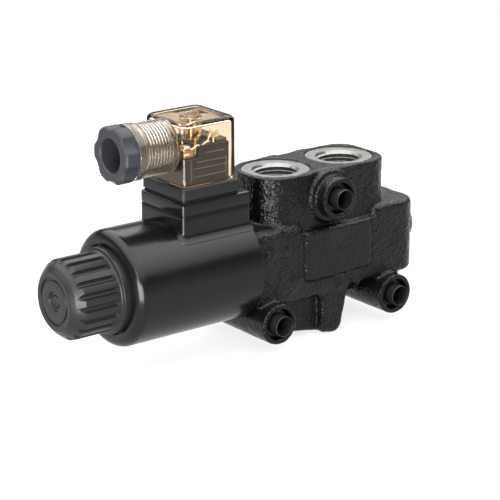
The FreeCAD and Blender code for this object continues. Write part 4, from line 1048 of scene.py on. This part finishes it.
def clear_cap():
    """Clear box of the connector, one closed skin.

    Rings run up the outside, in over the roof to the screw's recess, down the recess and
    its hole, back up outside the well to the ceiling and down the inner wall.
    """
    half = float(cap_high[0] - CONNECTOR_X)
    low, top = CAP_LOW, CAP_TOP
    rings = []

    def square(z, size, corner):
        flat = rounded_square(size, size, corner, 8)
        rings.append(np.column_stack([flat[:, 0] + CONNECTOR_X, flat[:, 1],
                                      np.full(len(flat), z)]))

    square(low, half - 1.1, 1.0)
    square(low, half - 0.15, 1.7)
    square(low + 0.15, half, 1.8)
    quarter = np.linspace(0, math.pi / 2, 7)
    for t in quarter:
        square(top - 1.9 * (1 - math.sin(t)), half - 1.9 * (1 - math.cos(t)),
               2.0 + 1.2 * math.sin(t))
    count = len(rings[0])
    square(top, 7.0, 3.0)
    for z, radius in ((top, 3.9), (top - 0.15, 3.55), (top - 3.5, 3.45), (top - 3.6, 3.35),
                      (top - 3.6, 1.9), (58.3, 1.9), (58.2, 2.0), (58.2, 4.2), (58.35, 4.4),
                      (top - 3.0, 4.5), (top - 2.2, 5.2)):
        rings.append(round_ring(z, radius, count))
    for t in quarter[::-1]:
        square(top - 2.2 - 1.0 * (1 - math.sin(t)), half - 1.55 - 1.0 * (1 - math.cos(t)),
               0.9 + 0.6 * math.sin(t))
    square(low + 0.6, half - 1.5, 1.0)
    points = np.concatenate(rings)
    mesh = new_mesh("clear_cap", points, grid_faces(len(rings), count, loop=True))
    finish_piece("clear_cap", mesh, CLEAR, "coil", ["connector_housing"],
                 angle=30)


def cable_neck():
    """Clear neck with a thread inside, a rim at its mouth and a seam down each side.

    The inner radius follows a rounded triangle wave of x over the pitch plus the angle's
    share of a turn, so one groove runs along the bore.
    """
    mouth, root = NECK_MOUTH, CONNECTOR_X - 13.6
    pitch, crest, depth = 1.5, 9.4, 0.34
    bore = [(x, 9.5) for x in np.arange(mouth + 5.0, root - 2.0, 0.125)]
    outer = [(root - 0.1, 11.6), (root - 0.5, 11.65), (mouth + 6.0, 11.6), (mouth + 5.4, 11.6),
             (mouth + 5.1, 11.75), (mouth + 4.8, 12.1), (mouth + 4.4, 12.19), (mouth + 0.7, 12.19),
             (mouth + 0.2, 12.05), (mouth, 11.8), (mouth + 0.15, 11.5), (mouth + 0.5, 11.4),
             (mouth + 4.1, 11.4), (mouth + 4.2, 11.2), (mouth + 4.2, 9.6)]
    profile = outer + bore + [(root - 0.9, 9.4), (root - 0.1, 9.4)]

    def radius(x, r, angle):
        wave = 0.5 + 0.5 * np.cos((x / pitch + angle / TURN) * TURN)
        seam = np.clip(1 - np.abs(np.sin(angle)) / 0.03, 0, 1) * 0.12
        outside = np.where((r > 11.5) & (r < 11.7), r + seam, r)
        return np.where(np.abs(r - 9.5) < 1e-6, crest + depth * wave, outside)

    mesh = new_mesh("cable_neck", *turned(profile, 144, centre=(0.0, ENTRY_Z), radius=radius))
    finish_piece("cable_neck", mesh, MISTY, "coil", ["connector_housing"],
                 angle=40)


def lobed_gland():
    """Gland nut: six lobes between hollow scallops, a bore, and a plain collar behind.

    The lobed radius is the smaller of the turned one and D cos a - sqrt(s^2 - D^2 sin^2 a)
    for scallops of radius s centred at distance D.
    """
    front, back = float(gland_low[0]), float(gland_high[0])
    head, collar_end, full = GLAND_HEAD, GLAND_COLLAR_END, GLAND_RADIUS
    outline = softened([(front + 0.8, 7.2, 0.1), (front, 7.7, 0.3), (front, 11.5, 0.7),
                        (front + 0.9, full, 0.5), (head - 0.5, full, 0.3), (head, 11.9, 0.2),
                        (head, 11.0, 0.1), (collar_end, 11.0, 0.3),
                        (collar_end, 9.15, 0), (back, 9.15, 0.2), (back, 7.2, 0.1)], steps=5)
    refined = []
    for first, second in zip(outline, np.roll(outline, -1, axis=0)):
        parts = int(np.clip(np.linalg.norm(second - first) // 1.2, 1, 8))
        refined += [first + (second - first) * k / parts for k in range(parts)]
    distance, scallop = 20.2, 9.0

    def radius(x, r, angle):
        from_hollow = angle % (math.pi / 3) - math.pi / 6
        reach = scallop ** 2 - (distance * np.sin(from_hollow)) ** 2
        wall = np.where(reach > 0, distance * np.cos(from_hollow) - np.sqrt(np.abs(reach)), 99.0)
        wall = -np.log(np.exp(-wall * 5) + math.exp(-full * 5)) / 5
        return np.where((r > 10.5) & (x < head - 0.2), r - (full - wall), r)

    mesh = new_mesh("gland_screw", *turned(refined, 240, centre=(0.0, ENTRY_Z), radius=radius))
    finish_piece("gland_screw", mesh, GLAND, "gland", ["gland_nut"], angle=30)


def terraced_carrier():
    """Dark insert inside the clear cap: stepped block, ribs on its faces and the wire posts."""
    middle = CONNECTOR_X
    shapes = [stacked(edged(37.3, 41.3, 14.1, 14.1, 1.6, 0.3, 3), middle, 0.0)]
    shapes.append(stacked(edged(41.2, 52.4, 11.5, 11.5, 1.2, 0.4, 3), middle, 0.0))
    shapes.append(stacked(edged(50.0, 57.5, 7.7, 11.45, 0.9, 0.35, 3), middle + 3.75, 0.0))
    ribs = []
    for height, low, high in ((54.4, -1.0, 8.5), (50.9, -5.5, 10.3), (48.3, -7.5, 10.6),
                              (44.8, -7.5, 8.6)):
        for face in (-1, 1):
            ribs.append(brick(middle + (low + high) / 2, face * 11.6, height,
                              (high - low) / 2, 0.32, 0.2, 0.12, 0.1))
    for along in (-8.5, 9.4):
        ribs.append(brick(middle + along, -11.4, 47.5, 0.3, 0.35, 4.4, 0.15, 0.1))
    for across in (-3.6, 3.6):
        shapes.append(brick(middle - 8.0, across, 53.4, 3.3, 0.45, 1.6, 0.2, 0.2))
    mesh = new_mesh("carrier_block", *joined(shapes))
    finish_piece("carrier_block", mesh, CARRIER, "coil", ["contact_carrier"],
                 angle=35)
    # The ribs get a lighter colour than the block: a painted highlight along their edges.
    mesh = new_mesh("carrier_ribs", *joined(ribs))
    finish_piece("carrier_ribs", mesh, PAINTED_RIB_HIGHLIGHT, "coil", angle=35)


def connector_insides():
    """Terminals and their screws, the board, the lamp, lead wires and brass leads."""
    low, high = span("contact_terminals")
    size = 2.6
    middle = float(low[0] + high[0]) / 2
    clamps = [brick(middle, across, (low[2] + high[2]) / 2, size, size,
                    float(high[2] - low[2]) / 2, 0.5, 0.3) for across in POLES]
    mesh = new_mesh("wire_clamps", *joined(clamps))
    finish_piece("wire_clamps", mesh, BRASS, "coil", ["contact_terminals"])

    low, high = span("terminal_screws")
    heads = []
    for across in POLES:
        outline = softened([(low[2], 0.0, 0), (low[2], 1.6, 0.1), (high[2] - 0.3, 1.9, 0.2),
                            (high[2], 1.5, 0.2), (high[2], 0.0, 0)], closed=False, steps=3)
        heads.append(stood_up(turned(outline, 28, loop=False), middle, across))
    mesh = new_mesh("clamp_screws", *joined(heads))
    finish_piece("clamp_screws", mesh, PLATED, "coil", ["terminal_screws"],
                 weld=0.002)

    low, high = span("circuit_board")
    centre = (low + high) / 2
    half = (high - low) / 2
    mesh = new_mesh("lamp_board", *brick(*centre, *half, 0.25, 0.08))
    finish_piece("lamp_board", mesh, BOARD, "coil", ["circuit_board"])

    low, high = span("indicator_lamp")
    centre = (low + high) / 2
    radius = float(high[0] - low[0]) / 2
    outline = softened([(low[2], 0.0, 0), (low[2], radius, 0.1), (low[2] + 0.9, radius, 0.1),
                        (low[2] + 0.9, radius - 0.3, 0), (high[2] - 0.2, radius - 0.3, 1.6),
                        (high[2], 0.0, 0)], closed=False, steps=6)
    mesh = new_mesh("neon_lamp", *stood_up(turned(outline, 40, loop=False), centre[0], centre[1]))
    finish_piece("neon_lamp", mesh, LAMP, "coil", ["indicator_lamp"], weld=0.002)

    x = CONNECTOR_X
    leads = [
        [(x - 10.8, -9.2, 56.6), (x - 8.4, -9.8, 57.4), (x - 6.6, -9.2, 56.2),
         (x - 4.4, -10.4, 57.9), (x - 2.2, -9.4, 56.9), (x + 0.4, -10.2, 58.6),
         (x + 2.6, -9.4, 58.2)],
        [(x - 11.0, -10.2, 54.2), (x - 9.6, -10.4, 54.8), (x - 8.2, -9.8, 54.3)],
        [(x + 2.0, -8.6, 58.1), (x + 3.2, -8.9, 60.8), (x + 4.6, -7.8, 61.0),
         (x + 5.2, -7.0, 59.6)],
    ]
    shapes = [tube_along(smooth_line(knots, 48), 0.36, 8) for knots in leads]
    mesh = new_mesh("lead_wires", *joined(shapes))
    finish_piece("lead_wires", mesh, WIRE_WHITE, "coil", angle=60, weld=0.01)
    studs = [[(x + 3.9, -10.3, 57.6), (x + 3.9, -10.2, 60.5), (x + 4.5, -9.8, 62.0)],
             [(x - 4.2, -8.4, 53.0), (x - 4.0, -8.2, 58.0), (x - 3.2, -7.6, 60.5)],
             [(x - 1.0, -5.4, 57.4), (x - 0.4, -5.6, 60.2), (x + 1.4, -5.2, 60.6)]]
    mesh = new_mesh("brass_leads",
                    *joined([tube_along(smooth_line(knots, 24), 0.5, 8) for knots in studs]))
    finish_piece("brass_leads", mesh, BRASS, "coil", angle=60, weld=0.01)


def roof_screw():
    """Slotted cheese-head screw in the connector's roof; the slot is cut as two cheeks."""
    low, high = span("fixing_screw")
    top, bottom = float(high[2]), float(low[2])
    shank = softened([(bottom, 0.0, 0), (bottom, 1.2, 0.2), (bottom + 0.6, 1.48, 0.1),
                      (top - 2.2, 1.48, 0), (top - 2.2, 2.85, 0.15), (top - 0.9, 2.9, 0.1),
                      (top - 0.9, 0.0, 0)], closed=False, steps=3)
    shapes = [stood_up(turned(shank, 56, loop=False), CONNECTOR_X, 0.0)]
    head, half_slot, count = 2.9, 0.42, 22
    edge = math.asin(half_slot / head)
    spread = np.linspace(edge, math.pi - edge, count)
    for side in (-1, 1):
        rings = []
        for z, r in ((top - 1.0, head), (top - 0.25, head), (top, 2.65)):
            rings.append(np.column_stack([CONNECTOR_X + r * np.cos(spread),
                                          side * r * np.sin(spread), np.full(count, z)]))
        shapes.append(capped(rings))
    mesh = new_mesh("roof_screw", *joined(shapes))
    finish_piece("roof_screw", mesh, PLATED, "screw", ["fixing_screw"], weld=0.002)


# ---- finishes for the CAD nodes that stay --------------------------------------------------

def dress_cad_nodes():
    """Gives every CAD node that is kept the finish of its material slot."""
    finishes = {
        "cast_iron_paint": CASTING, "zinc_steel": PLATED, "black_steel": BLACK_STEEL,
        "spring_steel": PLATED, "coil_plastic": GLOSSY, "nut_plastic": NUT,
        "copper_wire": COPPER, "bobbin_plastic": NATURAL, "brass": BRASS,
        "tin_plate": PLATED, "black_rubber": RUBBER, "clear_plastic": CLEAR,
        "carrier_plastic": CARRIER, "gland_plastic": GLAND, "board": BOARD, "lamp": LAMP,
    }
    slots = {part["node"]: part["material_slot"] for part in frame["record"]["subparts"]}
    for name, node in frame["nodes"].items():
        for place in node.material_slots:
            place.material = finishes[slots[name]]


# ---- floor, light and camera ---------------------------------------------------------------

WHITE = (1.0, 1.0, 1.0)
FLOOR_RADIUS = 700.0
FLOOR_SIDES = 96
SKY_LEVELS = [(0.0, 0.8), (0.1, 0.8), (0.2, 0.2), (0.28, 0.05), (0.37, 0.15), (0.46, 2.6),
              (0.6, 4.2), (0.8, 6.2), (1.0, 6.2)]


def studio():
    """Round white floor and a world whose light grows with height and is white to the eye."""
    ground = float(body_low[2]) - 0.4
    angle = np.linspace(0, TURN, FLOOR_SIDES, endpoint=False)
    ring = np.column_stack([FLOOR_RADIUS * np.cos(angle), FLOOR_RADIUS * np.sin(angle),
                            np.full(FLOOR_SIDES, ground)])
    mesh = bpy.data.meshes.new("floor")
    mesh.from_pydata(set_down(ring).tolist(), [], [tuple(range(FLOOR_SIDES))])
    floor = bpy.data.objects.new("floor", mesh)
    bpy.context.scene.collection.objects.link(floor)
    mesh.materials.append(studio_floor())

    world = bpy.data.worlds.new("studio")
    bpy.context.scene.world = world
    world.use_nodes = True
    world.node_tree.nodes.clear()
    sky = Wiring(world.node_tree)
    place = sky.node("ShaderNodeTexCoord", {}, [], output="Generated")
    height = sky.node("ShaderNodeSeparateXYZ", {}, [place], output="Z")
    stops = [(at, (level, level, level * 1.01)) for at, level in SKY_LEVELS]
    glow = sky.node("ShaderNodeValToRGB", {"stops": stops}, [height])
    seen = sky.node("ShaderNodeLightPath", {}, [], output="Is Camera Ray")
    shade = sky.node("ShaderNodeBackground", {}, [sky.blend(seen, glow, WHITE), 1.0])
    out = sky.tree.nodes.new("ShaderNodeOutputWorld")
    sky.feed(out.inputs[0], shade)


def softbox(name, centre, aim, wide, tall, power):
    """Rectangular lamp at a point in millimetres, turned towards another."""
    light = bpy.data.lights.new(name, "AREA")
    light.shape = "RECTANGLE"
    light.size = wide * MM
    light.size_y = tall * MM
    light.energy = power
    lamp = bpy.data.objects.new(name, light)
    bpy.context.scene.collection.objects.link(lamp)
    lamp.location = set_down(centre)
    lamp.rotation_euler = (Vector(aim) - Vector(centre)).to_track_quat("-Z", "Y").to_euler()


def viewpoint():
    """Long-lens camera a little above the valve, in front of its left end."""
    turn, lift = math.radians(-37.7355), math.radians(17.9114)
    target = np.array([-31.98, 0.0, 2.32])
    back = np.array([math.sin(turn) * math.cos(lift), -math.cos(turn) * math.cos(lift),
                     math.sin(lift)])
    camera = bpy.data.cameras.new("camera")
    camera.lens = 144.725
    camera.sensor_width = 36.0
    camera.clip_start = 0.05
    camera.clip_end = 50.0
    eye = bpy.data.objects.new("camera", camera)
    bpy.context.scene.collection.objects.link(eye)
    eye.location = set_down(target + back * 880.73)
    eye.rotation_euler = Vector(-back).to_track_quat("-Z", "Y").to_euler()
    bpy.context.scene.camera = eye


casting()
threaded_port(-1)
threaded_port(1)
sleeves()
end_cap()
gallery_screw()
fluted_nut()
override()
coil_case()
coil_tower()
square_gasket()
clear_cap()
cable_neck()
lobed_gland()
terraced_carrier()
connector_insides()
roof_screw()
dress_cad_nodes()
studio()
softbox("side", (-740.0, -470.0, 235.0), (-60.0, 0.0, 0.0), 170.0, 460.0, 2.3)
softbox("edge", (-215.0, -125.0, 2.0), (-85.0, -20.0, 10.0), 130.0, 80.0, 0.75)
viewpoint()
bpy.context.scene.view_settings.view_transform = "Standard"
